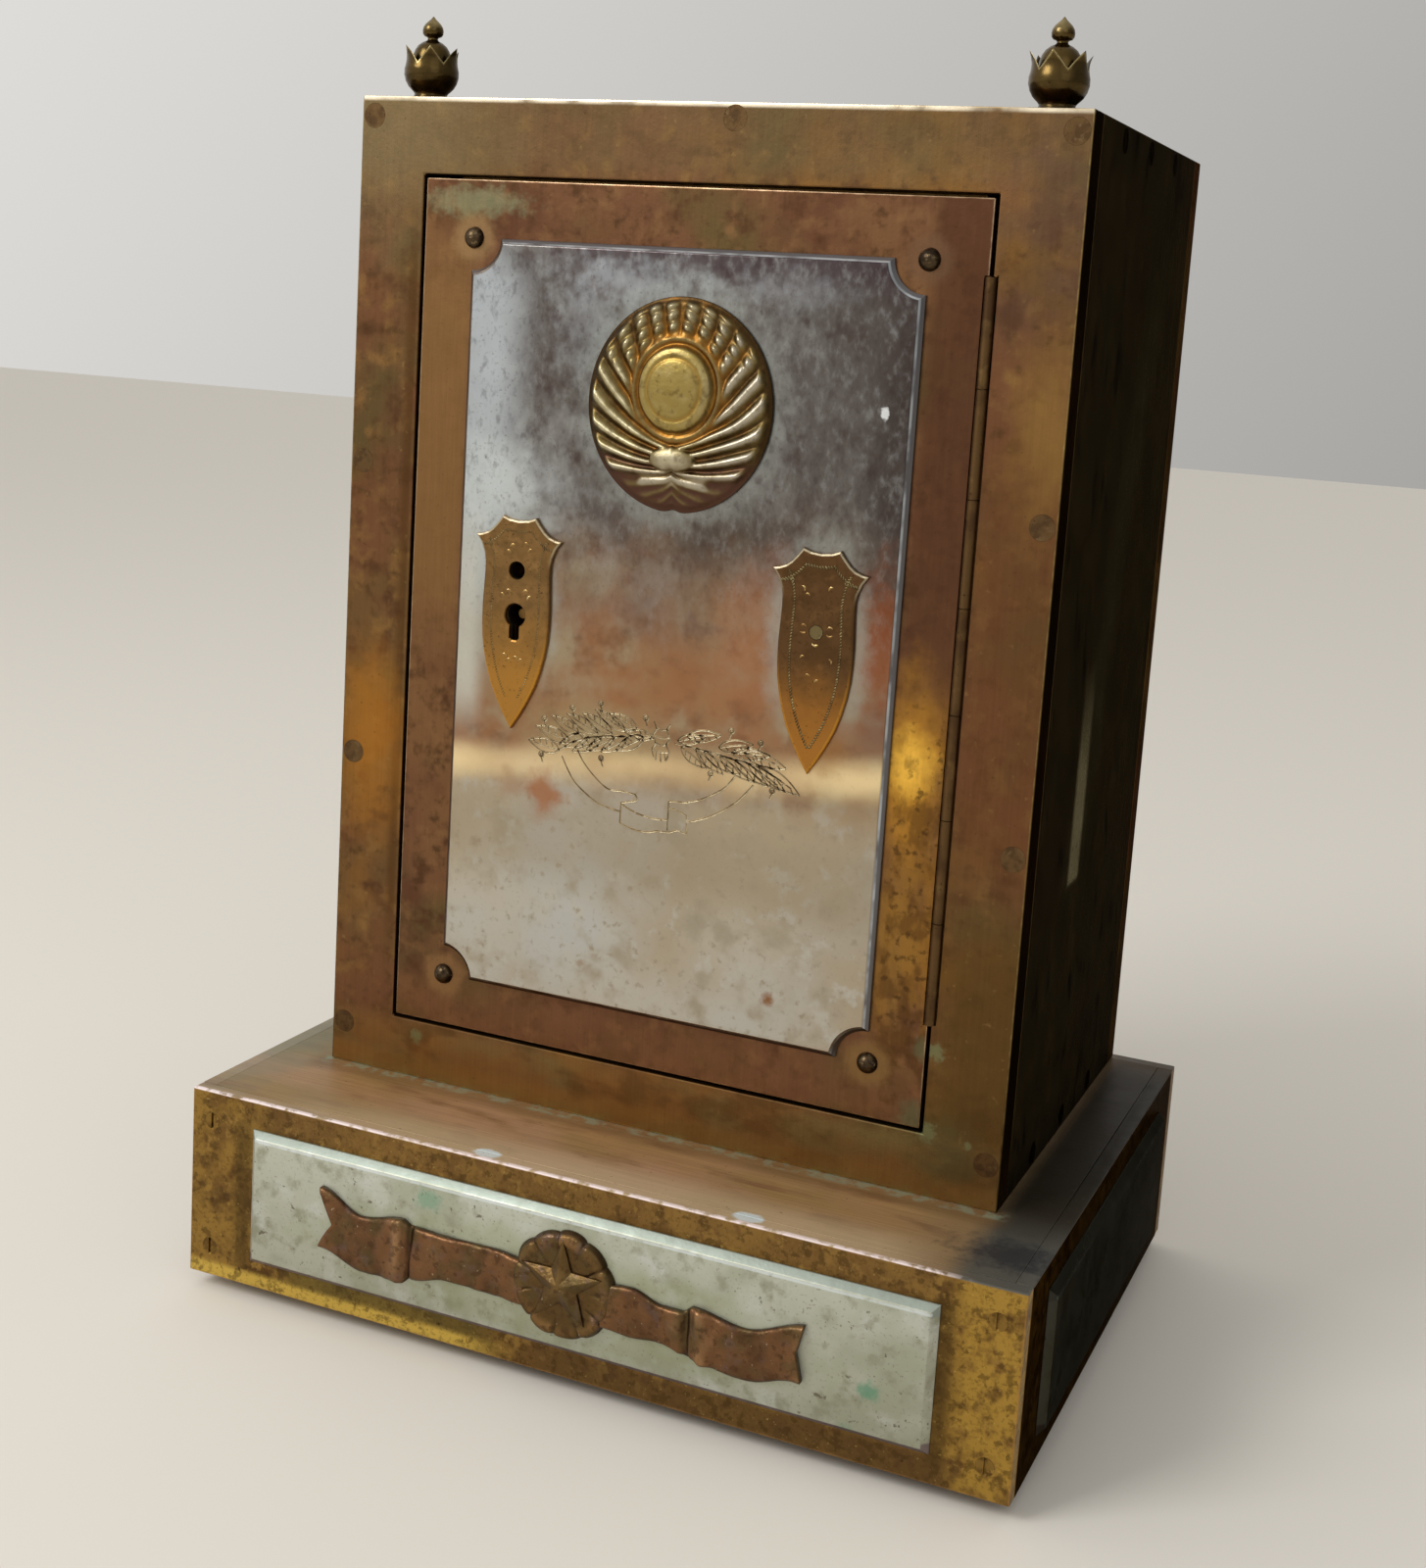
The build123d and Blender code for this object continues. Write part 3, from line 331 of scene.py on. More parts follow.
def box_mm(node):
    low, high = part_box(node)
    return low / MM, high / MM


def paint_node(name, finish):
    """Gives a CAD node its material."""
    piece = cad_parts[name]
    piece.data.materials.clear()
    piece.data.materials.append(finish.material)


# ---- Finishes ----
# Painted shade: a dark specular tint that darkens the reflections of sides that lie in shade.
PAINTED_SHADE_TINT = srgb(90, 80, 70)
BASE_TOP_METALLIC = 0.3


def mottled(finish, ground, patches):
    """Cloudy patches laid over a colour: each a colour, size, low, high, shift and maybe a stretch."""
    for colour, size, low, high, shift, *stretch in patches:
        stretch = stretch[0] if stretch else (1, 1, 1)
        ground = finish.mix(finish.clouds(size, low, high, shift=shift, stretch=stretch), ground, colour)
    return ground


def scaled(colour, share):
    """A screen colour, lighter or darker."""
    return [share * part for part in srgb(*colour)[:3]] + [1]


def frame_brass():
    """The thick front frame: olive and pink-brown tarnish with its edges rubbed bright, a painted
    highlight along its top front edge, a painted reflection of a bright band on its left stile, and
    painted shade on its narrow sides.
    """
    finish = Finish("frame_brass", roughness=0.4)
    lay, rise, span, spot, clouds = finish.lay, finish.rise, finish.span, finish.spot, finish.clouds
    low, high = box_mm("front_frame")
    x, z = finish.x, finish.z
    finish.ground = mottled(finish, (108, 81, 50), [
        ((112, 76, 52), 46, 0.4, 0.62, 3),
        ((132, 92, 46), 34, 0.46, 0.7, 11),
        ((92, 78, 48), 40, 0.46, 0.68, 23),
        ((86, 58, 38), 9, 0.5, 0.72, 29),
        ((132, 99, 58), 6, 0.48, 0.8, 59),
        ((86, 62, 38), 3.4, 0.5, 0.8, 69),
    ])
    lay((104, 86, 60), rise(z, 277, 284), 0.45)  # top
    lay((128, 112, 80), spot((-82, 26), (288, 22), 0.9, 0.3, 9), 0.5)  # top left
    lay((104, 68, 42), rise(x, 68, 76), span(z, 128, 225, 14), 0.6)  # right middle
    lay((142, 108, 58), spot((87, 8), (228, 17), 0.8, 0.5, 7), 0.65)  # right gold
    # right top
    lay((100, 74, 60), rise(x, 60, 76), rise(z, 240, 262), clouds(13, 0.34, 0.6, shift=87), 0.55)
    lay((88, 66, 34), rise(x, 60, 80), rise(z, 132, 106), 0.8)  # right foot
    # left inner
    lay((84, 56, 30), rise(x, -76.5, -74), rise(x, -72.3, -73.2), span(z, 90, 262, 12), 0.65)
    lay((170, 112, 42), spot((-82, 8), (141, 17), 0.8, 0.3, 7), 0.7)  # left glow: painted reflection of the bright band that crosses the door panel
    sill_clouds = clouds(15, 0.4, 0.66, shift=9, stretch=(1.6, 1, 1))
    lay(finish.mix(sill_clouds, (134, 100, 60), (124, 108, 70)), rise(z, 70, 64), 0.8)
    # sill patches
    lay((82, 60, 34), rise(z, 72, 66), clouds(8, 0.46, 0.64, shift=49, stretch=(1.8, 1, 1)), 0.5)
    lay((158, 122, 70), rise(z, 60, 54), 0.7)  # foot
    finish.streaks((1, 1, 30), 0.045, 0.7)
    lay((70, 51, 30), clouds(1.0, 0.64, 0.8, shift=8), 0.6)
    lay((142, 113, 70), clouds(2.4, 0.64, 0.84, shift=19), 0.7)
    lay((222, 190, 120), finish.edge(low, high, 0.5), 0.9)  # edge
    # Painted highlight along the top front edge, which faces the light.
    front_edge = rise(finish.y, BODY_FACE + 0.85, BODY_FACE + 0.45)
    lay((240, 226, 198), rise(z, 295.6, 296.5), front_edge, clouds(12, 0.26, 0.56, shift=2))
    lay((88, 94, 66), spot((76, 8), (64, 7), soft=0.6, grain=2.5), 0.35)  # verdigris
    for x_middle, z_middle, half in (
        (81.8, 66.8, 0.8), (-64.6, 63.5, 1.7), (72.6, 87.4, 1.8), (71.9, 68.1, 2.2),
    ):
        lay((122, 128, 92), spot((x_middle, half), (z_middle, half), 0.5, 0.5, 1.1), 0.6)  # fleck
    # Painted shade: the frame's narrow side faces darkened, and their reflections tinted dark.
    shaded_flank = rise(finish.math("ABSOLUTE", x), 89.55, 89.9)
    lay((34, 26, 16), shaded_flank, 0.85)
    finish.feed(finish.shader.inputs["Specular Tint"], finish.mix(shaded_flank, (1, 1, 1, 1), PAINTED_SHADE_TINT))
    return finish.ended((16, 0.26, 0.52, 31), (0.9, 0.03, 5), (18, 0.2))


def door_brass():
    """The door's thick plate: red-brown tarnish, rubbed to gold where a hand pulls it on the right, where
    the gold is also partly painted reflection, with a painted highlight where the panel's bright band
    crosses it.
    """
    finish = Finish("door_brass", roughness=0.42)
    lay, rise, span, spot, clouds = finish.lay, finish.rise, finish.span, finish.spot, finish.clouds
    low, high = box_mm("door_plate")
    x, z = finish.x, finish.z
    finish.ground = mottled(finish, (110, 76, 54), [
        ((122, 88, 58), 34, 0.42, 0.66, 4),
        ((96, 64, 46), 26, 0.46, 0.66, 13),
        ((98, 80, 50), 38, 0.5, 0.72, 27),
        ((84, 56, 38), 7, 0.5, 0.72, 35),
        ((128, 94, 62), 6, 0.48, 0.8, 55),
        ((82, 58, 38), 3.2, 0.5, 0.8, 65),
    ])
    plain = finish.ground
    lay((132, 98, 60), rise(x, -54, -60), span(z, 170, 262, 18), 0.8)  # left
    sill = rise(z, 84, 76)
    lay((122, 84, 58), sill, 0.45)
    lay((98, 76, 44), sill, clouds(9, 0.44, 0.68, shift=75, stretch=(1.8, 1, 1)), 0.5)  # sill patches
    right = rise(x, 54, 60)
    lay((86, 56, 40), right, rise(z, 160, 178), 0.75)
    # Gold on the right border: rubbed wear, and partly a painted reflection of the floor below.
    worn = finish.times(right, rise(z, 182, 150), rise(z, 78, 100))
    uneven = clouds(11, 0.3, 0.64, stretch=(0.6, 1, 1.8), shift=6)
    lay((150, 106, 46), worn, uneven, 0.8)
    lay((190, 136, 50), spot((61, 5.5), (150, 17), 0.9, 0.35, 6), 0.8)  # gold streak: painted reflection of the panel's bright band
    lay((244, 192, 80), spot((61, 4.6), (153, 6), 0.8, 0.35, 4), 0.95)  # glow: painted highlight where the panel's bright band crosses the border
    lay((150, 112, 54), spot((60.5, 6), (110, 18), 0.9, 0.5, 5), 0.6)  # worn foot: rubbed wear, partly painted reflection of the floor
    lay(  # patches
        (84, 56, 30), rise(z, 172, 146), right, clouds(5.5, 0.46, 0.62, shift=47, stretch=(1, 1, 1.4)),
        0.6,
    )
    lay((72, 50, 28), worn, clouds(2.4, 0.54, 0.68, shift=9), 0.7)  # freckles
    lay((138, 142, 108), spot((-57, 12), (273, 3.0), 0.6, 0.5, 2.2), 0.5)  # green
    for rivet_x, rivet_z, ring in (
        (-57.4, 264.5, (150, 120, 82)), (56.4, 264.5, (112, 84, 62)),
        (-57.4, 81.5, (146, 110, 72)), (56.4, 81.5, (140, 108, 66)),
    ):
        lay(ring, spot((rivet_x, 5.4), (rivet_z, 5.4), 0.3, 0.12, 2.0), 0.6)
    verdigris = spot((68.5, 3.4), (70, 4.5), 0.6, 0.4, 1.6)
    verdigris = finish.math("MAXIMUM", verdigris, spot((69, 1.6), (87.4, 2.6), soft=0.6, grain=1.2))
    lay((98, 108, 80), verdigris, 0.5)
    lay(plain, rise(finish.y, BODY_FACE + 0.5, BODY_FACE + 1.5))  # behind front
    finish.streaks((1, 1, 24), 0.045, 0.6)
    lay((66, 45, 30), clouds(1.0, 0.64, 0.8, shift=8), 0.6)
    lay((206, 176, 140), finish.edge(low, high, 0.45), 0.85)  # edge
    return finish.ended((14, 0.28, 0.52, 31), (0.9, 0.03, 5), (20, 0.2))


def worn_nickel():
    """The door panel: nickel with cloudy tarnish above, paler and plainer below, and rust spots. Much of
    its light and dark is painted reflection: the dark top and right, the pale foot and left, and a bright
    band across it; its bevel carries painted light and shade.
    """
    finish = Finish("worn_nickel", roughness=0.3)
    lay, rise, span, spot, clouds = finish.lay, finish.rise, finish.span, finish.spot, finish.clouds
    x, z = finish.x, finish.z
    # Darker above and paler below: tarnish, and partly a painted reflection of a dark room above and the
    # pale floor below.
    upper = mottled(finish, (116, 112, 108), [
        ((96, 88, 84), 24, 0.4, 0.66, 7),
        ((134, 132, 128), 12, 0.46, 0.72, 15),
        ((84, 72, 68), 7, 0.5, 0.72, 25),
    ])
    middle = mottled(finish, (150, 122, 92), [
        ((146, 106, 76), 26, 0.4, 0.64, 5),
        ((158, 142, 116), 15, 0.46, 0.7, 16),
        ((124, 92, 68), 8, 0.5, 0.74, 19),
    ])
    lower = finish.mix(rise(z, 132, 96), (180, 166, 142), (186, 180, 168))
    lower = mottled(finish, lower, [
        ((172, 158, 136), 40, 0.4, 0.7, 12),
        ((184, 184, 180), 50, 0.44, 0.72, 21),
        ((164, 154, 136), 9, 0.48, 0.72, 31),
        ((186, 182, 172), 5, 0.52, 0.74, 71),
        ((158, 148, 130), 2.2, 0.56, 0.76, 81),
    ])
    uneven = finish.math("MULTIPLY_ADD", finish.noise(20, shift=2), 34.0, z)
    finish.ground = finish.mix(rise(uneven, 186, 226), middle, upper)
    lay(lower, rise(z, 146, 130))
    lay((82, 74, 70), rise(x, 4, 46), rise(uneven, 196, 236), 0.7)  # right dark: painted reflection of dark surroundings
    lay((64, 54, 52), rise(x, 42, 54), rise(z, 176, 196), 0.6)  # far right: painted reflection of dark surroundings
    lay((62, 48, 54), rise(z, 252, 263), rise(x, -46, -20), 0.72)  # top dark: painted reflection of dark surroundings
    lay((72, 60, 50), spot((14, 26), (200, 7), 0.9, 0.5, 8), 0.45)  # under medallion: painted shadow of the medallion
    lay(  # left cloud: painted reflection of the bright left side
        (184, 190, 194), rise(x, -36, -50),
        span(finish.math("MULTIPLY_ADD", finish.noise(16, shift=9), 24, z), 192, 272, 9), 0.9,
    )
    lay((206, 212, 212), spot((-46, 15), (206, 10), 0.7, 0.4, 8), 0.75)  # lower cloud: painted reflection of the bright left side
    lay((198, 198, 188), rise(x, -47, -53), span(z, 150, 196, 9), 0.8)  # left edge: painted reflection of the bright left side
    for x_middle, z_middle, x_half, z_half, share in (
        (-14, 256, 15, 4, 0.5), (-25, 246, 7, 9, 0.35), (26, 256, 12, 3, 0.3),
    ):
        lay((160, 164, 168), spot((x_middle, x_half), (z_middle, z_half), 0.9, 0.9, 4), share)  # rub
    lay((152, 138, 114), span(z, 112, 134, 7), 0.5)  # under band
    lay((166, 150, 112), spot((-17, 17), (149, 7), 0.5, 0.3, 4), 0.55)  # wreath
    # Painted reflection: a bright band across the panel, a reflected edge, warm and brightest towards its
    # ends.
    band_height = finish.math("MULTIPLY_ADD", x, -0.095, z)
    band_noise = finish.noise(17, stretch=(1.6, 1, 1), shift=33)
    band_height = finish.math("MULTIPLY_ADD", band_noise, 6.0, band_height)
    band = span(band_height, 144.0, 148.0, 5.0)
    lay(finish.mix(clouds(22, 0.36, 0.6, shift=14), (226, 198, 150), (248, 222, 172)), band, 0.9)
    # bright ends of the painted reflected band
    lay((255, 232, 178), band, rise(finish.math("ABSOLUTE", finish.math("SUBTRACT", x, -4)), 34, 54), 0.8)
    lay((118, 98, 90), rise(x, 44, 53), span(z, 154, 168, 6), 0.5)  # right low
    for x_middle, z_middle, x_half, z_half, share, shade in (
        (53, 178, 5, 15, 0.75, (140, 78, 46)), (22, 172, 9, 14, 0.5, (164, 108, 74)),
        (26, 190, 8, 8, 0.3, (150, 96, 70)), (-8, 162, 26, 9, 0.35, (160, 112, 72)),
        (-30.3, 132.7, 4.4, 4.4, 0.8, (160, 102, 62)), (-39.9, 133.7, 3.4, 3.4, 0.45, (158, 118, 86)),
        (31.4, 92.5, 1.4, 1.4, 0.9, (132, 84, 40)), (41.5, 154.0, 4.4, 5.0, 0.4, (146, 100, 44)),
        (-18.0, 92.0, 1.0, 1.0, 0.5, (140, 110, 76)), (-49.0, 118.0, 1.2, 1.2, 0.35, (130, 106, 80)),
    ):
        lay(
            shade, spot((x_middle, x_half), (z_middle, z_half), 0.7, 0.5, min(7, x_half), x_middle),
            share,
        )
    for x_middle, z_middle, x_half, z_half in (
        (0, 228.8, 26.2, 28), (LOCK_ESCUTCHEON_X - 0.5, 176, 11.5, 26),
        (BLANK_ESCUTCHEON_X, 176, 12.5, 27),
    ):
        halo = spot((x_middle, x_half), (z_middle, z_half), 0.2, 0.12, 4)
        lay((170, 176, 170), halo, rise(z, 152, 172), 0.42)
    scuffs = finish.add("ShaderNodeMapping")
    finish.feed(scuffs.inputs["Vector"], finish.place)
    scuffs.inputs["Rotation"].default_value = (0, math.radians(-38), 0)
    scuffs.inputs["Scale"].default_value = (0.5, 0.5, 0.3)
    brush = finish.add("ShaderNodeTexNoise")
    finish.feed(brush.inputs["Vector"], scuffs.outputs["Vector"])
    for name, value in (("Scale", 1.0), ("Detail", 5.0), ("Roughness", 0.62)):
        brush.inputs[name].default_value = value
    brushed = brush.outputs["Fac"]
    above = rise(z, 156, 216)
    lay((170, 172, 170), rise(brushed, 0.46, 0.78), above, 0.34)
    lay((60, 50, 50), rise(brushed, 0.48, 0.28), above, 0.4)
    # freckles
    lay((84, 70, 58), clouds(0.7, 0.58, 0.74, shift=41), finish.math("MULTIPLY_ADD", above, 0.35, 0.1))
    lay((226, 230, 230), spot((49.6, 1.0), (230.7, 1.3), 0.3, 0.4, 1.2))  # white
    slope = finish.math("SUBTRACT", finish.y, PANEL_FACE)
    bevel = rise(slope, 0.1, 0.3)
    upper_right = rise(finish.math("ADD", x, z), 40, 190)
    # Painted light and shade on the bevel: lighter and bluer towards the upper right, darker towards the
    # lower left.
    lay(finish.mix(upper_right, (104, 88, 74), (112, 110, 112)), bevel)
    # bright line: painted highlight along the bevel
    lay((206, 212, 218), bevel, rise(slope, 0.75, 0.5), clouds(11, 0.36, 0.6, shift=61), 0.8)
    return finish.ended((9, 0.22, 0.42), (brushed, 0.012), (30, 0.3))


def dull_nickel(node, dark=0.0):
    """The base's panels: grey-green nickel, dull and finely pitted, with verdigris spots; their bevels
    carry painted light above and painted shade below, and dark lays painted shade over a side in shade.
    """
    # dark is painted shade: a near-black laid over the colour, and darker reflections.
    metallic, edge_tint = 1.0 if dark > 0.5 else 0.7, PAINTED_SHADE_TINT if dark else None
    finish = Finish("dull_nickel_" + node, metallic, 0.42, edge_tint)
    low, high = box_mm(node)
    lay, rise, span, spot, clouds = finish.lay, finish.rise, finish.span, finish.spot, finish.clouds
    finish.ground = mottled(finish, (178, 180, 164), [
        ((162, 164, 144), 18, 0.44, 0.66, 4),
        ((188, 190, 180), 10, 0.48, 0.7, 14),
        ((150, 150, 130), 5, 0.52, 0.72, 44),
    ])
    lay((120, 116, 96), clouds(0.8, 0.58, 0.72, shift=8), 0.55)  # pits
    lay((94, 86, 68), clouds(1.9, 0.66, 0.72, shift=18), 0.8)  # specks
    near_edge = finish.edge(low, high, 6.0, ragged=0.8, grain=6)
    lay((132, 132, 106), near_edge, clouds(4, 0.46, 0.62, shift=9), 0.4)  # stained
    if node == "base_front_panel":
        for x_middle, z_middle, size, share in (
            (-37, 40, 3.0, 0.5), (74.3, 22.5, 2.4, 0.75), (70, 12, 2.0, 0.3),
        ):
            lay((96, 150, 122), spot((x_middle, size), (z_middle, size * 0.8), 0.6, 0.6, 1.8), share)
        lay((146, 152, 112), spot((-4, 66), (25, 12), 0.2, 0.2, 7), 0.35)  # cast stain
    across, face = {
        "base_front_panel": (finish.y, low.y), "base_left_panel": (finish.x, low.x),
        "base_right_panel": (finish.x, high.x),
    }[node]
    slope = finish.math("ABSOLUTE", finish.math("SUBTRACT", across, face))
    bevel = rise(slope, 0.12, 0.3)
    # Painted light on the upward bevel, pale greenish, and painted shade on the downward bevel.
    lay((136, 146, 138), bevel, rise(finish.z, high.z - 3, high.z - 2.4), 0.8)
    lay((104, 80, 88), bevel, rise(finish.z, low.z + 3, low.z + 2.4), 0.75)
    # Painted highlight along the upper bevel's edge.
    crisp = span(finish.z, high.z - 2.45, high.z - 1.75, 0.16)
    lay((214, 222, 222), crisp, rise(slope, 0.5, 0.3), clouds(3.0, 0.2, 0.42, shift=52), 0.6)
    # Painted shade over a side in shade.
    if dark:
        lay((34, 28, 18), dark)
    return finish.ended((7, 0.32, 0.58), (0.8, 0.04, 4), (12, 0.12))


def base_top_colour(finish):
    """The base's top: satin pink-brown with strokes along its length, lighter towards the front as
    painted reflection, darker to the right partly as a painted shadow of the body, its front edge chipped
    bright and painted with a highlight.
    """
    x, y = finish.x, finish.y
    lay, rise, span, spot, clouds = finish.lay, finish.rise, finish.span, finish.spot, finish.clouds
    finish.ground = mottled(finish, (158, 126, 88), [
        ((166, 132, 102), 30, 0.4, 0.62, 4, (2, 1, 1)),
        ((146, 120, 78), 24, 0.44, 0.68, 14, (2, 1, 1)),
        ((132, 100, 70), 8, 0.5, 0.72, 24, (3, 1, 1)),
    ])
    finish.streaks((40, 1, 1), 0.14, 0.7)
    lay((200, 184, 150), rise(y, -56, -68), rise(x, 96, 70), rise(x, -90, -50), 0.5)  # light front: painted reflection, lighter towards the front
    lay((112, 96, 72), rise(x, 70, 92), 0.55)  # right: darker, partly painted shadow of the body
    lay(finish.mix(rise(y, -30, -58), (30, 28, 20), (84, 84, 78)), rise(x, 86, 94), 0.95)  # side: painted shadow of the body, partly dark tarnish
    lay((44, 44, 48), spot(x=(98, 11), y=(-58.5, 6), soft=0.6, ragged=0.6, grain=3), 0.8)  # corner: painted shadow of the body, partly dark tarnish
    lay((122, 126, 108), spot(x=(-104, 12), y=(-4, 60), soft=0.7, ragged=0.3, grain=8), 0.6)  # left
    lay((92, 74, 50), rise(y, 60, 78), 0.5)  # behind
    lay((96, 74, 48), span(y, -46, -38, 2.6), span(x, -93, 93, 3), 0.55)  # shade
    lay(  # foot
        (132, 146, 126), span(y, -42.2, -38, 0.8), clouds(3, 0.4, 0.6, shift=12), span(x, -92, 92, 2),
        0.6,
    )
    for x_middle, y_middle in ((-24.7, -70.5), (41.7, -70.2)):
        # drip
        lay((204, 214, 214), spot(x=(x_middle, 3.5), y=(y_middle, 2.2), soft=0.2, ragged=0.2, grain=2.0))
    lay(  # front: edge chipped bright, partly painted highlight
        (240, 224, 222), rise(y, BASE_FACE + 1.5, BASE_FACE + 0.8), clouds(2.6, 0.34, 0.54, shift=22),
        rise(x, 96, 84),
    )
    lay((76, 60, 44), clouds(1.0, 0.68, 0.76, shift=8), 0.8)
    return finish.ground


def base_wall_brass(node, dark=0.0):
    """The base's walls: golden brass worn through brown tarnish, browner round the panel; dark lays
    painted shade over a side in shade.
    """
    finish = Finish(node + "_brass", roughness=0.4, edge_tint=PAINTED_SHADE_TINT if dark > 0.5 else None)
    low, high = box_mm(node)
    lay, rise, span, clouds = finish.lay, finish.rise, finish.span, finish.clouds
    finish.ground = mottled(finish, (116, 88, 48), [
        ((146, 114, 58), 12, 0.4, 0.62, 6),
        ((126, 94, 50), 24, 0.46, 0.66, 17),
        ((94, 68, 38), 5, 0.48, 0.66, 33),
        ((150, 118, 62), 3, 0.54, 0.66, 53),
    ])
    if node == "base_front":
        x, z = finish.x, finish.z
        lay((156, 122, 60), rise(x, -90, -96), clouds(7, 0.36, 0.6, shift=3), 0.8)  # left end
        lay((180, 144, 66), rise(x, 89, 96), clouds(4, 0.3, 0.56, shift=43), 0.85)  # right end
        lay((214, 182, 88), rise(z, 8.6, 6.6), rise(x, -14, -30), 0.9)  # foot strip
        lay((104, 94, 50), span(z, 7.4, 11.5, 1.0), span(x, -78, -20, 6), 0.6)  # left strip
        lay((98, 74, 46), rise(z, 11.5, 9.5), rise(x, -18, -2), rise(x, 98, 88), 0.7)  # lower
        lay((138, 106, 62), rise(z, 45, 47.5), span(x, -84, 88, 6), 0.5)  # upper
        for x_middle in (-91.5, 89.5):
            # beside
            lay((84, 66, 34), span(x, x_middle - 2.2, x_middle + 2.2, 1.4), span(z, 9, 46, 3), 0.65)
    lay((78, 58, 30), clouds(2.2, 0.54, 0.64, shift=63), 0.55)  # blotches
    lay((84, 62, 32), clouds(0.9, 0.5, 0.66, shift=8), 0.35)  # grains
    lay((214, 182, 104), clouds(0.9, 0.64, 0.76, shift=28), 0.35)  # glints
    lay((70, 50, 30), clouds(3.0, 0.66, 0.76, shift=38))
    # Painted shade over a side in shade; it also dims the rubbed edges below.
    if dark:
        lay((26, 20, 12), dark)
    lay((176, 134, 78), finish.edge(low, high, 0.7), 0.7 * (1 - 0.9 * dark))  # edge
    upward = rise(finish.z, high.z - 0.5, high.z - 0.2)
    walls = finish.ground
    finish.ground = finish.mix(upward, walls, base_top_colour(finish))
    metallic = finish.math("MULTIPLY_ADD", upward, BASE_TOP_METALLIC - 1, 1.0)
    finish.feed(finish.shader.inputs["Metallic"], metallic)
    return finish.ended((6, 0.34, 0.58), (0.8, 0.04, 5), (14, 0.2))


def base_top_brass():
    """The base's top plate, set in between its walls."""
    finish = Finish("base_top_brass", BASE_TOP_METALLIC, 0.42, srgb(150, 135, 120))
    finish.ground = base_top_colour(finish)
    return finish.ended((10, 0.3, 0.56), (0.5, 0.03, 3, (30, 1, 1)), (0.9, 0.03, 5))


def wall_brass(node):
    """The body's other walls: brass gone brown and dark, with faint drips and paler rubs; the right wall
    is painted darker as shade and carries a painted pale reflected strip.
    """
    finish = Finish(node + "_brass", roughness=0.5, edge_tint=PAINTED_SHADE_TINT)
    low, high = box_mm(node)
    lay, rise, span, clouds = finish.lay, finish.rise, finish.span, finish.clouds
    finish.ground = mottled(finish, (88, 68, 40), [
        ((108, 84, 50), 30, 0.4, 0.68, 4, (1, 1, 1.4)),
        ((70, 54, 34), 18, 0.42, 0.7, 14, (1, 1, 1.4)),
        ((92, 64, 42), 44, 0.46, 0.66, 24),
        ((74, 58, 34), 5, 0.48, 0.74, 34),
    ])
    lay((48, 37, 24), clouds(4.5, 0.46, 0.76, shift=7, stretch=(1, 1, 4)), 0.45)  # drips
    lay((126, 110, 78), clouds(4.0, 0.54, 0.8, shift=37, stretch=(1, 1, 3)), 0.3)  # pale
    if node == "right_side":
        y, z = finish.y, finish.z
        outside = rise(finish.x, high[0] - 1.5, high[0] - 0.5)
        # Painted shade: the right wall darkened, as it lies in shade.
        lay((56, 52, 39), 0.82)
        lay((18, 18, 13), clouds(6, 0.56, 0.7, shift=57, stretch=(1, 1, 2.5)), 0.6)  # blots
        lay((62, 54, 34), rise(y, 4, 30), rise(z, 112, 150), rise(z, 290, 250), 0.4)  # far
        lean = finish.math("MULTIPLY_ADD", z, -0.24, y)
        uneven = finish.math("MULTIPLY_ADD", finish.noise(12, shift=64), 12.0, lean)
        lay((84, 80, 60), span(uneven, -27, -8, 7), span(z, 118, 262, 14), outside, 0.3)  # strip: painted reflection
        # strip foot: painted reflection
        lay((150, 144, 118), span(y, 2, 12, 1.8), rise(z, 119, 121), rise(z, 176, 140), outside, 0.8)
    lay((34, 27, 18), clouds(1.0, 0.62, 0.74, shift=8), 0.7)
    lay((120, 98, 62), finish.edge(low, high, 0.5), 0.45)  # edge
    return finish.ended((12, 0.36, 0.6), (0.9, 0.03, 5), (6, 0.08, 3, (1, 1, 4)))


def plain_brass(name, ground, darker, lighter, size=5.0, roughness=(0.28, 0.55), edge_tint=None):
    """Brass fittings and inner parts: a ground with darker clouds, bright rubs and fine pits."""
    finish = Finish(name, edge_tint=edge_tint)
    finish.ground = mottled(finish, ground, [
        (darker, size, 0.44, 0.62, 4), (lighter, size * 0.6, 0.56, 0.7, 14),
    ])
    finish.lay(scaled(darker, 0.45), finish.clouds(0.8, 0.64, 0.74, shift=8))
    return finish.ended((size, *roughness), (0.7, 0.03, 5))


def relief_metal(name, hollow, ground, crown, low, high, grain=3.0):
    """Cast ornament: dark in its hollows and rubbed bright on its crowns, by the piece's own relief."""
    finish = Finish(name)
    relief = finish.attribute("relief")
    uneven = finish.math("MULTIPLY_ADD", finish.noise(grain, shift=3), 0.5, relief)
    uneven = finish.math("SUBTRACT", uneven, 0.25)
    middle = (low + high) / 2
    finish.ground = finish.mix(finish.rise(uneven, low, middle), hollow, ground)
    finish.lay(crown, finish.rise(uneven, middle, high))
    return finish, relief


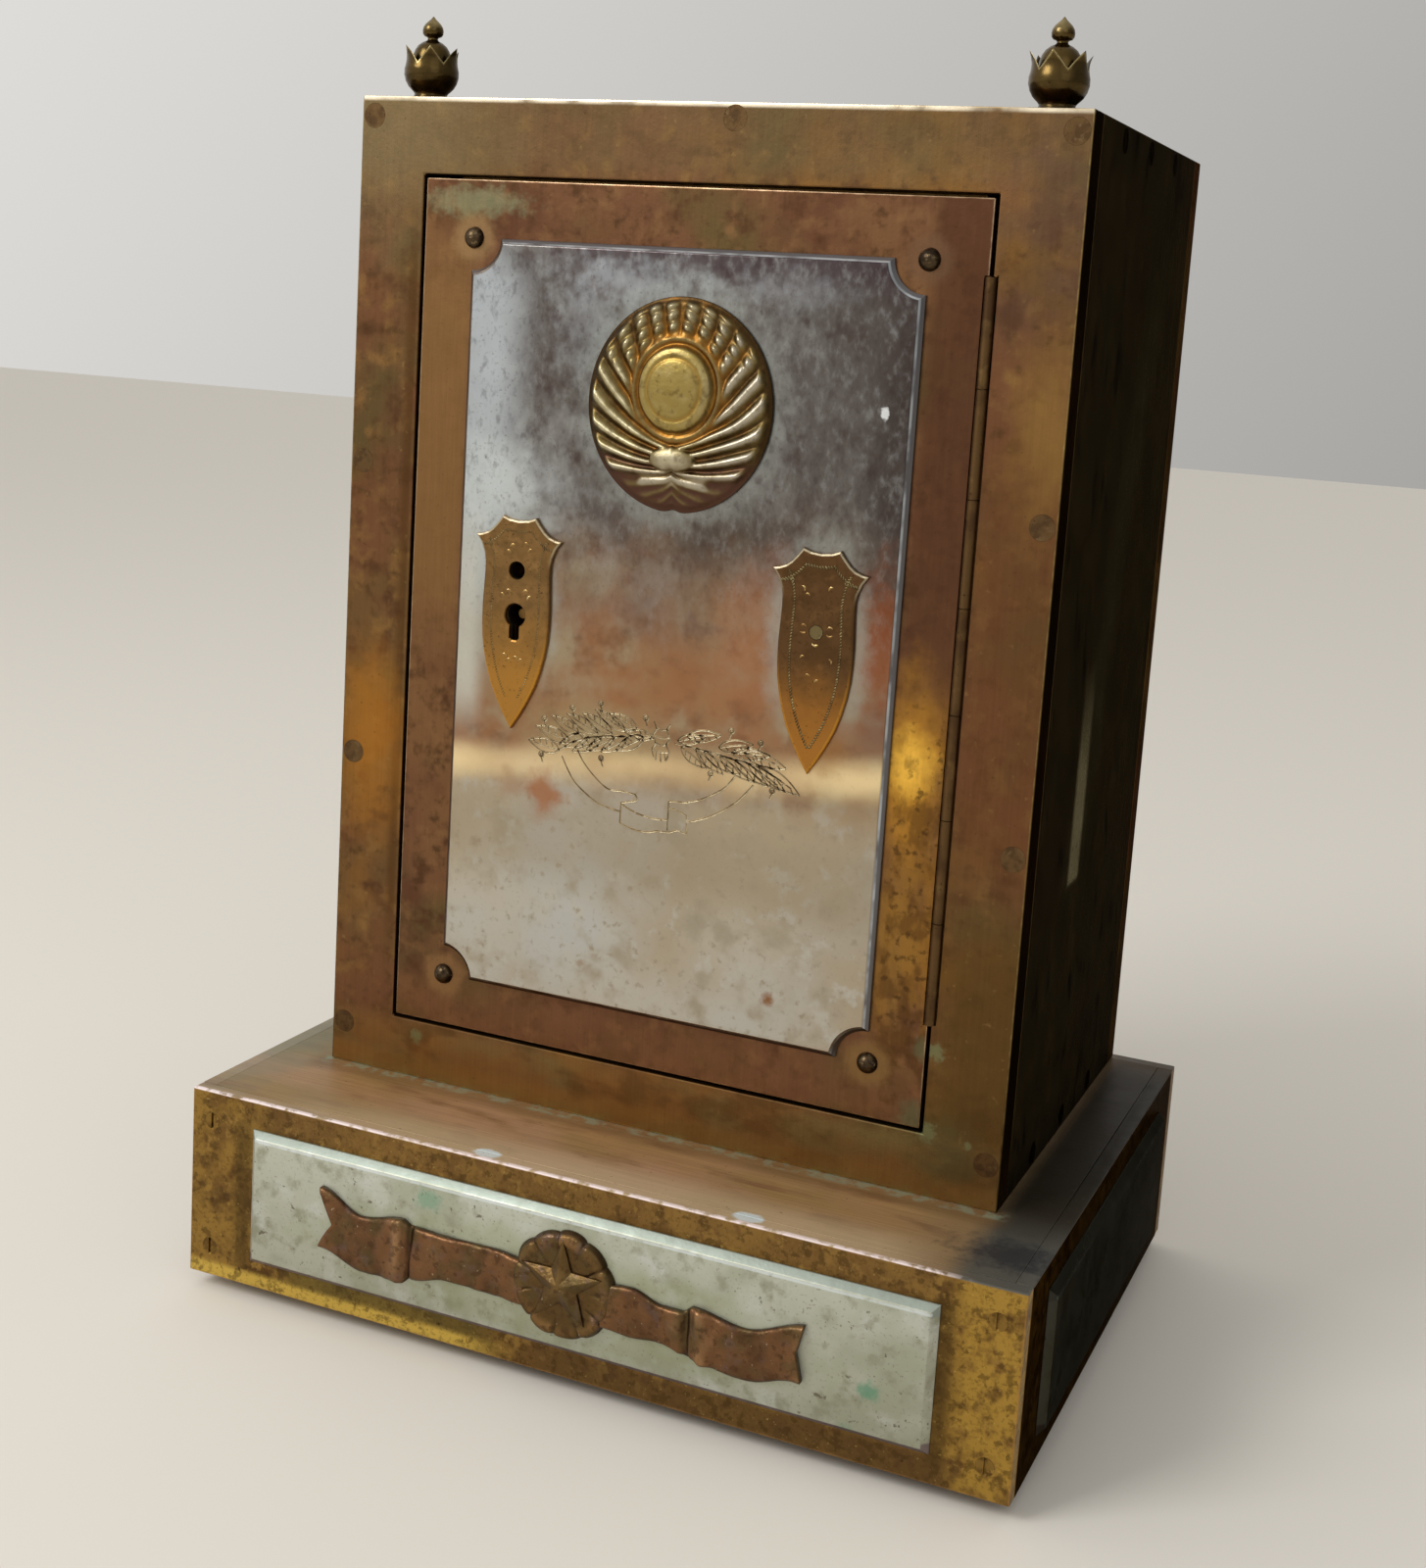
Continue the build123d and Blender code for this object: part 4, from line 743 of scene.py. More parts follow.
def gilt():
    """The medallion: gilding worn to silver and red-brown towards its foot."""
    finish, relief = relief_metal("gilt", (60, 44, 24), (122, 106, 66), (190, 180, 146), 0.1, 0.95)
    lay, rise, spot, clouds = finish.lay, finish.rise, finish.spot, finish.clouds
    middle_x, middle_z = MEDALLION_MIDDLE
    x, z = finish.x, finish.z
    lay((172, 164, 150), rise(x, middle_x + 2, middle_x + 16), rise(relief, 0.35, 0.8), 0.7)  # silver
    around_boss = spot((middle_x, 13), (middle_z + 4, 15), 0.5, 0.3, 4)
    lay((172, 112, 36), finish.times(around_boss, rise(relief, 0.55, 0.2)), 0.5)
    lay((172, 148, 78), spot((middle_x, 9.2), (middle_z + 3.7, 9.8), 0.1, 0.05, 4), 0.5)  # the boss
    below = rise(z, middle_z - 8, middle_z - 18)
    lay((84, 58, 48), below, rise(relief, 0.7, 0.25), 0.9)
    lay((160, 150, 136), below, rise(relief, 0.45, 0.8), 0.7)
    lay((190, 180, 150), rise(z, middle_z + 15, middle_z + 22), rise(relief, 0.2, 0.7), 0.5)
    lay((88, 68, 38), clouds(2.2, 0.52, 0.7, shift=77), 0.5)
    return finish.ended((3, 0.26, 0.46), (0.7, 0.04, 4), (2.4, 0.12))


def copper_bronze(name, hollow, ground, crown):
    """The base's ornament: copper-brown bronze with grey-purple and green tarnish."""
    finish = relief_metal(name, hollow, ground, crown, 0.05, 1.1, grain=4.0)[0]
    for colour, size, low, high, shift, share in (
        ((92, 80, 52), 7, 0.46, 0.66, 13, 0.6), ((112, 92, 86), 4, 0.54, 0.7, 23, 0.45),
        ((78, 56, 38), 2.0, 0.52, 0.66, 31, 0.6), ((60, 45, 32), 0.9, 0.62, 0.78, 8, 0.6),
        ((186, 166, 140), 1.2, 0.68, 0.76, 88, 0.8),
    ):
        finish.lay(colour, finish.clouds(size, low, high, shift=shift), share)
    return finish.ended((4, 0.3, 0.5), (0.8, 0.06, 4), (3, 0.35))


def cast_metal():
    """The finials' dark cast brass."""
    finish = relief_metal("cast_brass", (42, 33, 20), (84, 68, 38), (156, 140, 98), 0.1, 1.0)[0]
    finish.lay((50, 38, 22), finish.clouds(0.7, 0.62, 0.72, shift=8))
    return finish.ended((3, 0.14, 0.34), (1.2, 0.04, 4))


def escutcheon_brass(name, ground, rubbed, tip_high):
    """The escutcheons: brown brass, rubbed golden towards the tip, gold along the lower edges that is
    rubbed wear and partly painted highlight, and a painted highlight on the top scallops.
    """
    finish = Finish(name)
    lay, rise, clouds = finish.lay, finish.rise, finish.clouds
    z = finish.z
    finish.ground = mottled(finish, ground, [
        (scaled(ground, 0.78), 6, 0.46, 0.66, 4), (scaled(ground, 1.22), 4, 0.52, 0.7, 14),
        (scaled(ground, 0.8), 1.4, 0.5, 0.68, 24),
    ])
    uneven = finish.math("MULTIPLY_ADD", finish.noise(7, shift=9), 14.0, z)
    lay(rubbed, rise(uneven, tip_high + 6, tip_high - 16))
    wear = finish.attribute("relief")
    # Gold on the lower bevels: rubbed wear and partly painted highlight.
    lay((196, 140, 52), wear, rise(z, 178, 158), 0.75)
    # Painted highlight on the bevels of the top scallops.
    lay((200, 190, 160), rise(wear, 0.4, 1.0), rise(z, 187, 193), 0.5)
    lay((66, 46, 26), clouds(0.7, 0.62, 0.72, shift=8), 0.7)
    return finish.ended((4, 0.3, 0.54), (0.6, 0.03, 4), (6, 0.1))


def steel(name, ground, darker, roughness=(0.28, 0.5)):
    """The lock's steel: grey with brown bloom and fine grinding strokes."""
    finish = Finish(name)
    finish.ground = mottled(finish, ground, [
        (darker, 8, 0.48, 0.66, 4), ((112, 84, 60), 5, 0.6, 0.74, 14),
    ])
    finish.streaks((14, 1, 1), 0.14, 0.4)
    return finish.ended((6, *roughness), (0.4, 0.02, 3, (14, 1, 1)))


# ---- Making meshes ----
def new_piece(name, points, faces, relief=None, smooth=True):
    """A mesh from points in millimetres; relief is one number a point, for the finish."""
    mesh = bpy.data.meshes.new(name)
    mesh.from_pydata([Vector(point) * MM for point in points], [], faces)
    if relief is not None:
        mesh.attributes.new("relief", "FLOAT", "POINT").data.foreach_set("value", relief)
    mesh.update()
    work = bmesh.new()
    work.from_mesh(mesh)
    bmesh.ops.remove_doubles(work, verts=work.verts, dist=0.001 * MM)
    bmesh.ops.recalc_face_normals(work, faces=work.faces)
    for face in work.faces:
        face.smooth = smooth
    work.to_mesh(mesh)
    work.free()
    return add_object(name, mesh)


def settle(piece, finish, slot, body, *nodes):
    """The finish, body and CAD nodes of a finished piece; the slot is not used."""
    piece.data.materials.clear()
    piece.data.materials.append(finish.material)
    if nodes:
        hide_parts(*nodes)
    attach(piece, body)
    return piece


def grid_faces(rows, columns, closed=False):
    """Quads between the points of neighbouring rows; a closed grid joins its last column to its first."""
    faces = []
    for row in range(rows - 1):
        for column in range(columns if closed else columns - 1):
            beside = (column + 1) % columns
            faces.append((
                row * columns + column, row * columns + beside,
                (row + 1) * columns + beside, (row + 1) * columns + column,
            ))
    return faces


def smoothstep(value, low, high):
    share = min(1.0, max(0.0, (value - low) / (high - low)))
    return share * share * (3 - 2 * share)


def hump(distance, width):
    """A round hump: 1 where the distance is nothing."""
    return math.exp(-((distance / width) ** 2))


def along(table, value):
    """The height of a line through (place, height) points, eased between them."""
    if value <= table[0][0]:
        return table[0][1]
    for (first, start), (last, end) in zip(table, table[1:]):
        if value <= last:
            share = (value - first) / (last - first)
            return start + (end - start) * share * share * (3 - 2 * share)
    return table[-1][1]


def straight(table, value):
    """The height of a line through (place, height) points, straight between them."""
    for (first, start), (last, end) in zip(table, table[1:]):
        if value <= last:
            return start + (end - start) * max(0.0, (value - first) / (last - first))
    return table[-1][1]


def polar_relief(middle, face, radius_at, height_at, rings, spokes):
    """A cast relief on a plate that faces the front. radius_at(angle) is its outline, and
    height_at(share, angle) how far it stands out, where share is 0 in the middle and 1 at the rim."""
    points, heights = [], []
    for ring in range(rings + 1):
        share = (ring / rings) ** 0.9
        for spoke in range(spokes):
            angle = 2 * math.pi * spoke / spokes
            radius_x, radius_z = radius_at(angle)
            height = height_at(share, angle)
            points.append((
                middle[0] + share * radius_x * math.cos(angle), face - height,
                middle[1] + share * radius_z * math.sin(angle),
            ))
            heights.append(height)
    faces = grid_faces(rings + 1, spokes, True)
    first = len(points)
    rim = points[-spokes:]
    points += [(x, face, z) for x, _, z in rim]
    heights += [0.0] * spokes
    for spoke in range(spokes):
        beside = (spoke + 1) % spokes
        faces.append((first - spokes + spoke, first - spokes + beside, first + beside, first + spoke))
    points.append((middle[0], face, middle[1]))
    heights.append(0.0)
    faces += [(first + spoke, first + (spoke + 1) % spokes, len(points) - 1) for spoke in range(spokes)]
    return points, faces, heights


# ---- Geometry Nodes ----
def new_tree(name, inputs):
    """A node tree whose inputs are the mesh it works on and those named, each with its kind."""
    tree = bpy.data.node_groups.new(name, "GeometryNodeTree")
    tree.interface.new_socket("Geometry", in_out="INPUT", socket_type="NodeSocketGeometry")
    for label, kind in inputs:
        tree.interface.new_socket(label, in_out="INPUT", socket_type="NodeSocket" + kind)
    tree.interface.new_socket("Geometry", in_out="OUTPUT", socket_type="NodeSocketGeometry")
    entry = tree.nodes.new("NodeGroupInput")
    return tree, entry


def join(tree, *links):
    """Links (from, name or number of its output, to, name or number of its input)."""
    for source, output, goal, entry in links:
        tree.links.new(source.outputs[output], goal.inputs[entry])


def run_through(tree, source, output, *nodes):
    """Runs a geometry through the nodes in turn and out of the tree."""
    for node in (*nodes, tree.nodes.new("NodeGroupOutput")):
        join(tree, (source, output, node, "Geometry"))
        source, output = node, "Geometry"


def finish_tree(tree, entry, source, output):
    """Realize Instances and Set Material, with which a tree of scattered pieces ends."""
    real = tree.nodes.new("GeometryNodeRealizeInstances")
    painted = tree.nodes.new("GeometryNodeSetMaterial")
    run_through(tree, source, output, real, painted)
    join(tree, (entry, "Finish", painted, "Material"))


def scatter_tree():
    """Sets a shape on each point, turned and sized as the point says."""
    tree, entry = new_tree("set_shapes", [("Shape", "Object"), ("Finish", "Material")])
    shape = tree.nodes.new("GeometryNodeObjectInfo")
    instance = tree.nodes.new("GeometryNodeInstanceOnPoints")
    join(
        tree, (entry, "Shape", shape, "Object"), (entry, "Geometry", instance, "Points"),
        (shape, "Geometry", instance, "Instance"),
    )
    for label, socket in (("turn", "Rotation"), ("size", "Scale")):
        named = tree.nodes.new("GeometryNodeInputNamedAttribute")
        named.data_type = "FLOAT_VECTOR"
        named.inputs["Name"].default_value = label
        join(tree, (named, "Attribute", instance, socket))
    finish_tree(tree, entry, instance, "Instances")
    return tree


def stroke_tree():
    """Runs a flat bar along each line of a mesh."""
    inputs = [("Width", "Float"), ("Depth", "Float"), ("Finish", "Material")]
    tree, entry = new_tree("cut_strokes", inputs)
    curve = tree.nodes.new("GeometryNodeMeshToCurve")
    bar = tree.nodes.new("GeometryNodeCurvePrimitiveQuadrilateral")
    sweep = tree.nodes.new("GeometryNodeCurveToMesh")
    sweep.inputs["Fill Caps"].default_value = True
    join(
        tree, (entry, "Geometry", curve, "Mesh"), (entry, "Depth", bar, "Width"),
        (entry, "Width", bar, "Height"), (curve, "Curve", sweep, "Curve"),
        (bar, "Curve", sweep, "Profile Curve"),
    )
    finish_tree(tree, entry, sweep, "Mesh")
    return tree


def run_tree(piece, tree, **values):
    """The mesh that a tree makes of a piece, in the piece's place."""
    modifier = piece.modifiers.new(tree.name, "NODES")
    modifier.node_group = tree
    sockets = {item.name: item.identifier for item in tree.interface.items_tree if item.in_out == "INPUT"}
    for label, value in values.items():
        modifier[sockets[label]] = value
    graph = bpy.context.evaluated_depsgraph_get()
    made = bpy.data.meshes.new_from_object(piece.evaluated_get(graph))
    piece.modifiers.remove(modifier)
    piece.data = made
    return piece


def scattered(name, shape, places, finish, tree):
    """A piece made of one shape at many places: each is (point, turn about y in degrees, sizes)."""
    mesh = bpy.data.meshes.new(name)
    mesh.from_pydata([Vector(place[0]) * MM for place in places], [], [])
    turns = mesh.attributes.new("turn", "FLOAT_VECTOR", "POINT")
    turns.data.foreach_set("vector", [n for place in places for n in (0, math.radians(place[1]), 0)])
    sizes = mesh.attributes.new("size", "FLOAT_VECTOR", "POINT")
    sizes.data.foreach_set("vector", [n for place in places for n in place[2]])
    piece = add_object(name, mesh)
    run_tree(piece, tree, Shape=shape, Finish=finish.material)
    for polygon in piece.data.polygons:
        polygon.use_smooth = True
    bpy.data.objects.remove(shape)
    return piece


def lathe(name, profile, steps):
    """A shape turned about an upright axis from (radius, height) points; its ends are on the axis."""
    points = []
    for radius, height in profile:
        for step in range(steps):
            angle = 2 * math.pi * step / steps
            points.append((radius * math.cos(angle), radius * math.sin(angle), height))
    return new_piece(name, points, grid_faces(len(profile), steps, True))


# ---- Pieces of the door ----
def make_medallion(finish):
    """An oval of ribs that fan out from a clasp near its foot, round a plain domed boss."""
    rings, spokes = 84, 448
    boss_height, boss_share = 0.15, 0.4
    fan_side, fan_foot, fan_pitch, fan_sweep = 0.5, 0.5, 0.132, 0.13

    def radius_at(angle):
        foot_notch = 1 - 0.03 * hump(angle - 1.5 * math.pi, 0.07)
        return MEDALLION_HALF[0] * foot_notch, MEDALLION_HALF[1] * foot_notch

    def ridge_at(across, upward):
        """1 on the ribs' crowns and 0 between them; towards the top the ribs break up into grains."""
        reach = math.hypot(upward + fan_foot, abs(across) + fan_side)
        turn = math.atan2(upward + fan_foot, abs(across) + fan_side) - fan_sweep * reach ** 1.5
        rib = turn / fan_pitch + 0.06 * math.sin(9 * upward + 4 * across)
        ridge = (0.5 + 0.5 * math.cos(2 * math.pi * rib)) ** 0.9
        grains = (0.5 + 0.5 * math.cos(2 * math.pi * (reach / 0.1 + 0.5 * round(rib)))) ** 0.7
        return ridge * (1 - 0.6 * smoothstep(upward, 0.28, 0.5) * (1 - grains))

    def relief_at(share, angle):
        """The height in mm, and how worn the place is, from 0 in the hollows to 1 on the crowns."""
        across, upward = share * math.cos(angle), share * math.sin(angle)
        crown = 3.9 - 1.7 * share ** 1.6
        boss = math.hypot(across, upward - boss_height) / boss_share
        away = smoothstep(boss, 1.16, 1.42)
        ridge = ridge_at(across, upward) * away * smoothstep(1 - share, 0.02, 0.1)
        fold = 0.5 * hump(upward + 0.7 + 0.12 * across ** 2, 0.05)
        fold *= smoothstep(0.42 - abs(across), 0, 0.1)
        below = smoothstep(-upward, 0.58, 0.72)
        height = crown - 0.9 + (1.3 - 1.1 * below) * ridge + fold
        height += 0.12 * math.sin(11 * across + 6 * upward) * math.sin(7 * upward - 5 * across)
        worn = 0.14 + 0.7 * ridge * (1 - 0.5 * below) + 1.1 * fold
        collar = hump(boss - 1.16, 0.09)
        height += 0.6 * collar
        worn = max(worn, 0.45 * collar)
        dome = 3.5 + 1.75 * math.sqrt(1 - (0.97 * min(1.0, boss)) ** 2)
        dome -= 0.3 * hump(boss - 0.72, 0.05)
        dome_worn = 0.58 + 0.1 * hump(boss - 0.84, 0.08) - 0.3 * hump(boss - 0.72, 0.06)
        inside = smoothstep(1.06 - boss, 0.0, 0.13)
        height += (dome - height) * inside
        worn += (dome_worn - worn) * inside
        clasp = math.hypot(across / 0.25, (upward + 0.5) / 0.12)
        knot = smoothstep(1.08 - clasp, 0.0, 0.2)
        height += (2.9 + 1.7 * math.sqrt(1 - (0.96 * min(1.0, clasp)) ** 2) - height) * knot
        worn += (0.55 + 0.45 * (1 - min(1.0, clasp)) - worn) * knot
        rim = smoothstep(1 - share, 0.0, 0.07)
        return min(5.5, 0.8 + (height - 0.8) * rim), min(1.0, max(0.0, worn)) * (0.4 + 0.6 * rim)

    points, faces, heights = polar_relief(
        MEDALLION_MIDDLE, PANEL_FACE, radius_at, lambda *place: relief_at(*place)[0], rings, spokes,
    )
    worn = [
        relief_at((ring / rings) ** 0.9, 2 * math.pi * spoke / spokes)[1]
        for ring in range(rings + 1) for spoke in range(spokes)
    ]
    worn += [0.0] * (len(heights) - len(worn))
    piece = new_piece("medallion_relief", points, faces, worn)
    return settle(piece, finish, "gilt", "door", "medallion")


ESCUTCHEON_HALF = [
    (0.0, 0.0), (2.1, 3.2), (4.2, 6.9), (6.0, 10.6), (7.3, 14.4), (8.3, 18.4), (8.9, 22.0), (9.15, 26.0),
    (9.2, 30.0), (9.0, 34.5), (8.85, 38.0), (8.9, 40.5), (9.25, 42.4), (10.2, 44.7), (11.7, 46.7),
    (10.0, 47.0), (8.4, 47.6), (7.1, 48.6), (5.7, 50.2), (4.5, 51.8), (2.6, 51.1), (0.0, 50.8),
]
HOLE_EASE = 0.07


def escutcheon_outline(x_middle):
    """The outline, counter-clockwise from the tip, as (x, z)."""
    right = [(x_middle + x, ESCUTCHEON_FOOT_Z + z) for x, z in ESCUTCHEON_HALF]
    left = [(x_middle - x, ESCUTCHEON_FOOT_Z + z) for x, z in ESCUTCHEON_HALF[1:-1]]
    return right + left[::-1]


def inset(outline, distance):
    """A closed outline moved inwards by a distance, corners mitred."""
    moved = []
    count = len(outline)
    for index, (x, z) in enumerate(outline):
        before, after = outline[index - 1], outline[(index + 1) % count]
        first = Vector((x - before[0], z - before[1])).normalized()
        second = Vector((after[0] - x, after[1] - z)).normalized()
        across = Vector((-first.y, first.x)) + Vector((-second.y, second.x))
        length = across.length
        across = across / length
        stretch = min(2.2, 1 / max(0.2, length / 2))
        moved.append((x + across.x * distance * stretch, z + across.y * distance * stretch))
    return moved


def circle_points(x, z, radius, steps):
    angles = [2 * math.pi * step / steps for step in range(steps)]
    return [(x + radius * math.cos(angle), z + radius * math.sin(angle)) for angle in angles]


def keyhole_outline(x, z, radius=2.8, slot=2.6, drop=6.1):
    """A round hole with a slot that hangs from it."""
    start = math.asin(slot / 2 / radius)
    arc = []
    for step in range(25):
        angle = -math.pi / 2 + start + (2 * math.pi - 2 * start) * step / 24
        arc.append((x + radius * math.cos(angle), z + radius * math.sin(angle)))
    foot, half = z - drop, slot / 2
    left = [(x - half, foot + 0.5), (x - half / 2, foot)]
    return arc + left + [(x + half / 2, foot), (x + half, foot + 0.5)]


def make_escutcheon(name, x_middle, holes, finish, slot, node):
    """A thin shield with a filed bevel round its face and its holes."""
    thick, bevel = 1.2, 0.5
    outer = escutcheon_outline(x_middle)
    work = bmesh.new()
    layer = work.verts.layers.float.new("relief")

    def loop(outline, y, wear):
        verts = []
        for x, z in outline:
            vert = work.verts.new(Vector((x, y, z)) * MM)
            vert[layer] = wear
            verts.append(vert)
        return verts

    def bridge(first, second):
        count = len(first)
        for index in range(count):
            beside = (index + 1) % count
            work.faces.new((first[index], first[beside], second[beside], second[index]))

    def ring_edges(verts):
        count = len(verts)
        edges = []
        for index in range(count):
            pair = (verts[index], verts[(index + 1) % count])
            edges.append(work.edges.get(pair) or work.edges.new(pair))
        return edges

    back, front = PANEL_FACE, PANEL_FACE - thick
    rims = [
        (outer, back, 0.0), (outer, front + bevel, 0.6), (inset(outer, 0.16), front + 0.2, 1.0),
        (inset(outer, bevel), front + 0.03, 0.9), (inset(outer, bevel + 0.2), front, 0.0),
    ]
    loops = [loop(*rim) for rim in rims]
    for first, second in zip(loops, loops[1:]):
        bridge(first, second)
    front_edges, back_edges = ring_edges(loops[-1]), ring_edges(loops[0])
    for hole in holes:
        middle_x = sum(x for x, z in hole) / len(hole)
        middle_z = sum(z for x, z in hole) / len(hole)
        eased = [(x + (x - middle_x) * HOLE_EASE, z + (z - middle_z) * HOLE_EASE) for x, z in hole]
        edges = [loop(eased, front, 0.0), loop(hole, front + 0.25, 0.4), loop(hole, back, 0.0)]
        bridge(edges[0], edges[1])
        bridge(edges[1], edges[2])
        front_edges += ring_edges(edges[0])
        back_edges += ring_edges(edges[2])
    bmesh.ops.triangle_fill(work, use_beauty=True, edges=front_edges)
    bmesh.ops.triangle_fill(work, use_beauty=True, edges=back_edges)
    bmesh.ops.recalc_face_normals(work, faces=work.faces)
    mesh = bpy.data.meshes.new(name)
    for face in work.faces:
        face.smooth = False
    work.to_mesh(mesh)
    work.free()
    return settle(add_object(name, mesh), finish, slot, "door", node)


def line_piece(name, lines, y, finish, slot, tree, width, depth):
    """Engraved lines, each a list of (x, z) points on a plane that faces the front."""
    points, edges = [], []
    for line in lines:
        first = len(points)
        points += [(x, y, z) for x, z in line]
        edges += [(index, index + 1) for index in range(first, len(points) - 1)]
    mesh = bpy.data.meshes.new(name)
    mesh.from_pydata([Vector(point) * MM for point in points], edges, [])
    piece = add_object(name, mesh)
    run_tree(piece, tree, Width=width * MM, Depth=depth * MM, Finish=finish.material)
    return settle(piece, finish, slot, "door")


def curved(points, steps=6):
    """A smooth line through given points."""
    ends = [points[0]] + list(points) + [points[-1]]
    line = []
    for before, start, end, after in zip(ends, ends[1:], ends[2:], ends[3:]):
        for step in range(steps):
            t = step / steps
            line.append(tuple(
                0.5 * (
                    2 * b + (c - a) * t + (2 * a - 5 * b + 4 * c - d) * t * t
                    + (3 * b - a - 3 * c + d) * t ** 3
                ) for a, b, c, d in zip(before, start, end, after)
            ))
    line.append(tuple(points[-1]))
    return line


def leaf_lines(base, tip, half_width, hatches):
    """An engraved leaf: its two edges, its vein and strokes of shading on one half."""
    across = Vector((tip[0] - base[0], tip[1] - base[1]))
    length = across.length
    forward = across / length
    side = Vector((-forward.y, forward.x))

    def place(share, offset):
        spot = Vector(base) + forward * share * length + side * offset
        return spot.x, spot.y

    lines = []
    for sign in (-1, 1):
        edge = [place(0.0, 0.0)]
        for share in [step / 12 for step in range(1, 12)]:
            edge.append(place(share, sign * half_width * math.sin(math.pi * share ** 0.8) ** 0.9))
        lines.append(edge + [place(1.0, 0.0)])
    lines.append([place(s, 0.12 * half_width * math.sin(math.pi * s)) for s in (0.0, 0.2, 0.4, 0.6, 0.8)])
    for index in range(hatches):
        share = 0.2 + 0.6 * index / max(1, hatches - 1)
        reach = half_width * math.sin(math.pi * share ** 0.8)
        lines.append([place(share, -0.12 * reach), place(share + 0.07, -0.85 * reach)])
    return lines


def engraving_lines():
    """Two laurel branches tied with a knot over a bare banner that hangs from two pairs of arcs."""
    leaves = [
        ((-26.8, 144.3), (-35.2, 145.6), 1.7), ((-21.7, 149.1), (-29.3, 152.4), 1.4),
        ((-12.8, 150.3), (-20.9, 154.1), 1.5), ((-6.3, 152.3), (-13.9, 155.0), 1.4),
        ((-18.9, 148.5), (-26.9, 145.6), 1.6), ((-12.2, 149.4), (-19.4, 145.3), 1.5),
        ((-4.5, 150.5), (-11.6, 146.4), 1.5), ((-2.3, 150.8), (-9.4, 151.0), 1.2),
        ((5.4, 149.6), (12.1, 145.4), 1.6), ((11.3, 149.2), (20.7, 145.1), 1.5),
        ((19.1, 148.3), (27.9, 143.4), 1.5), ((25.2, 147.7), (35.8, 142.4), 1.7),
        ((6.8, 152.1), (15.3, 153.7), 1.4), ((15.0, 150.7), (23.6, 152.6), 1.5),
        ((21.4, 150.4), (32.0, 148.2), 1.6), ((-24.2, 146.8), (-33.4, 149.3), 1.6),
        ((-16.6, 149.8), (-25.1, 153.4), 1.4), ((-9.4, 151.4), (-17.6, 155.4), 1.3),
        ((-15.6, 148.6), (-23.2, 144.4), 1.5), ((-8.6, 149.8), (-15.6, 145.4), 1.4),
        ((9.2, 149.6), (16.4, 144.6), 1.5), ((15.4, 148.6), (24.4, 143.9), 1.5),
        ((22.6, 147.9), (32.2, 142.8), 1.5), ((4.4, 150.8), (11.6, 152.7), 1.2),
        ((18.2, 149.9), (28.0, 150.6), 1.4),
    ]
    lines = []
    for base, tip, half_width in leaves:
        lines += leaf_lines(base, tip, half_width, 4)
    for x, z in (
        (-31.2, 151.4), (-23.7, 155.0), (-16.2, 157.0), (-4.2, 155.1), (-15.4, 143.8), (-31.6, 142.5),
        (17.9, 155.1), (25.4, 153.2), (13.3, 144.2), (29.0, 142.4),
    ):
        berry = circle_points(x, z, 0.62, 10)
        lines.append(berry + berry[:1])
        lines.append(circle_points(x + 0.1, z - 0.1, 0.3, 8))
        lines.append([(x, z - 0.6), (x + 0.5 * (1 if x < 0 else -1), z - 1.9)])
    lines += [curved(points) for points in (
        [(-1.7, 150.4), (-6.7, 150.4), (-12.2, 149.6), (-17.7, 148.6), (-21.6, 147.6), (-26.8, 144.3)],
        [(3.7, 150.1), (7.5, 149.9), (12.9, 149.2), (18.8, 148.5), (24.7, 147.6), (31.2, 145.1)],
        [(-25.9, 142.8), (-24.0, 139.5), (-21.6, 136.5), (-16.8, 133.3), (-13.4, 132.2), (-9.7, 131.6)],
        [
            (-21.8, 145.0), (-20.2, 142.4), (-17.8, 139.9), (-14.8, 137.5), (-12.5, 136.5), (-9.2, 136.6),
            (-5.8, 136.3),
        ],
        [(24.2, 143.1), (22.1, 140.5), (19.6, 137.9), (15.5, 135.0), (11.9, 133.1), (8.2, 131.8)],
        [(19.4, 144.4), (17.2, 141.5), (14.7, 139.7), (11.0, 137.6), (7.9, 136.6)],
        [(-9.5, 128.8), (-5.9, 127.8), (-2.0, 127.7), (0.2, 128.3), (3.5, 128.5)],
        [(-9.2, 133.5), (-6.7, 132.3), (-3.9, 131.6), (-0.5, 131.2), (3.0, 131.5)],
        [(-5.8, 136.3), (-5.4, 135.0), (-7.9, 134.2), (-9.4, 133.8)],
        [(-2.0, 154.6), (-1.3, 152.9), (-2.2, 151.2), (-1.3, 149.6), (-2.1, 147.9), (-1.5, 146.0)],
        [(2.2, 154.4), (1.5, 152.8), (2.4, 151.0), (1.5, 149.4), (2.3, 147.7), (1.7, 145.8)],
        [(-1.4, 153.2), (0.1, 152.8), (1.7, 153.1)], [(-2.1, 151.4), (0.1, 150.9), (2.3, 151.2)],
        [(-1.5, 149.7), (0.1, 149.2), (1.7, 149.5)], [(-2.0, 147.9), (0.1, 147.5), (2.2, 147.7)],
        [(-0.9, 147.4), (-1.0, 145.4)], [(0.2, 147.3), (0.3, 145.2)], [(1.2, 147.4), (1.5, 145.5)],
    )]
    lines += [
        [(-9.4, 133.8), (-9.5, 128.8)], [(3.0, 136.0), (3.0, 128.9)], [(3.0, 136.0), (7.9, 136.4)],
        [(3.0, 134.4), (5.3, 134.2), (7.8, 133.2), (8.1, 128.8), (5.6, 129.4), (3.5, 128.5)],
    ]
    return lines


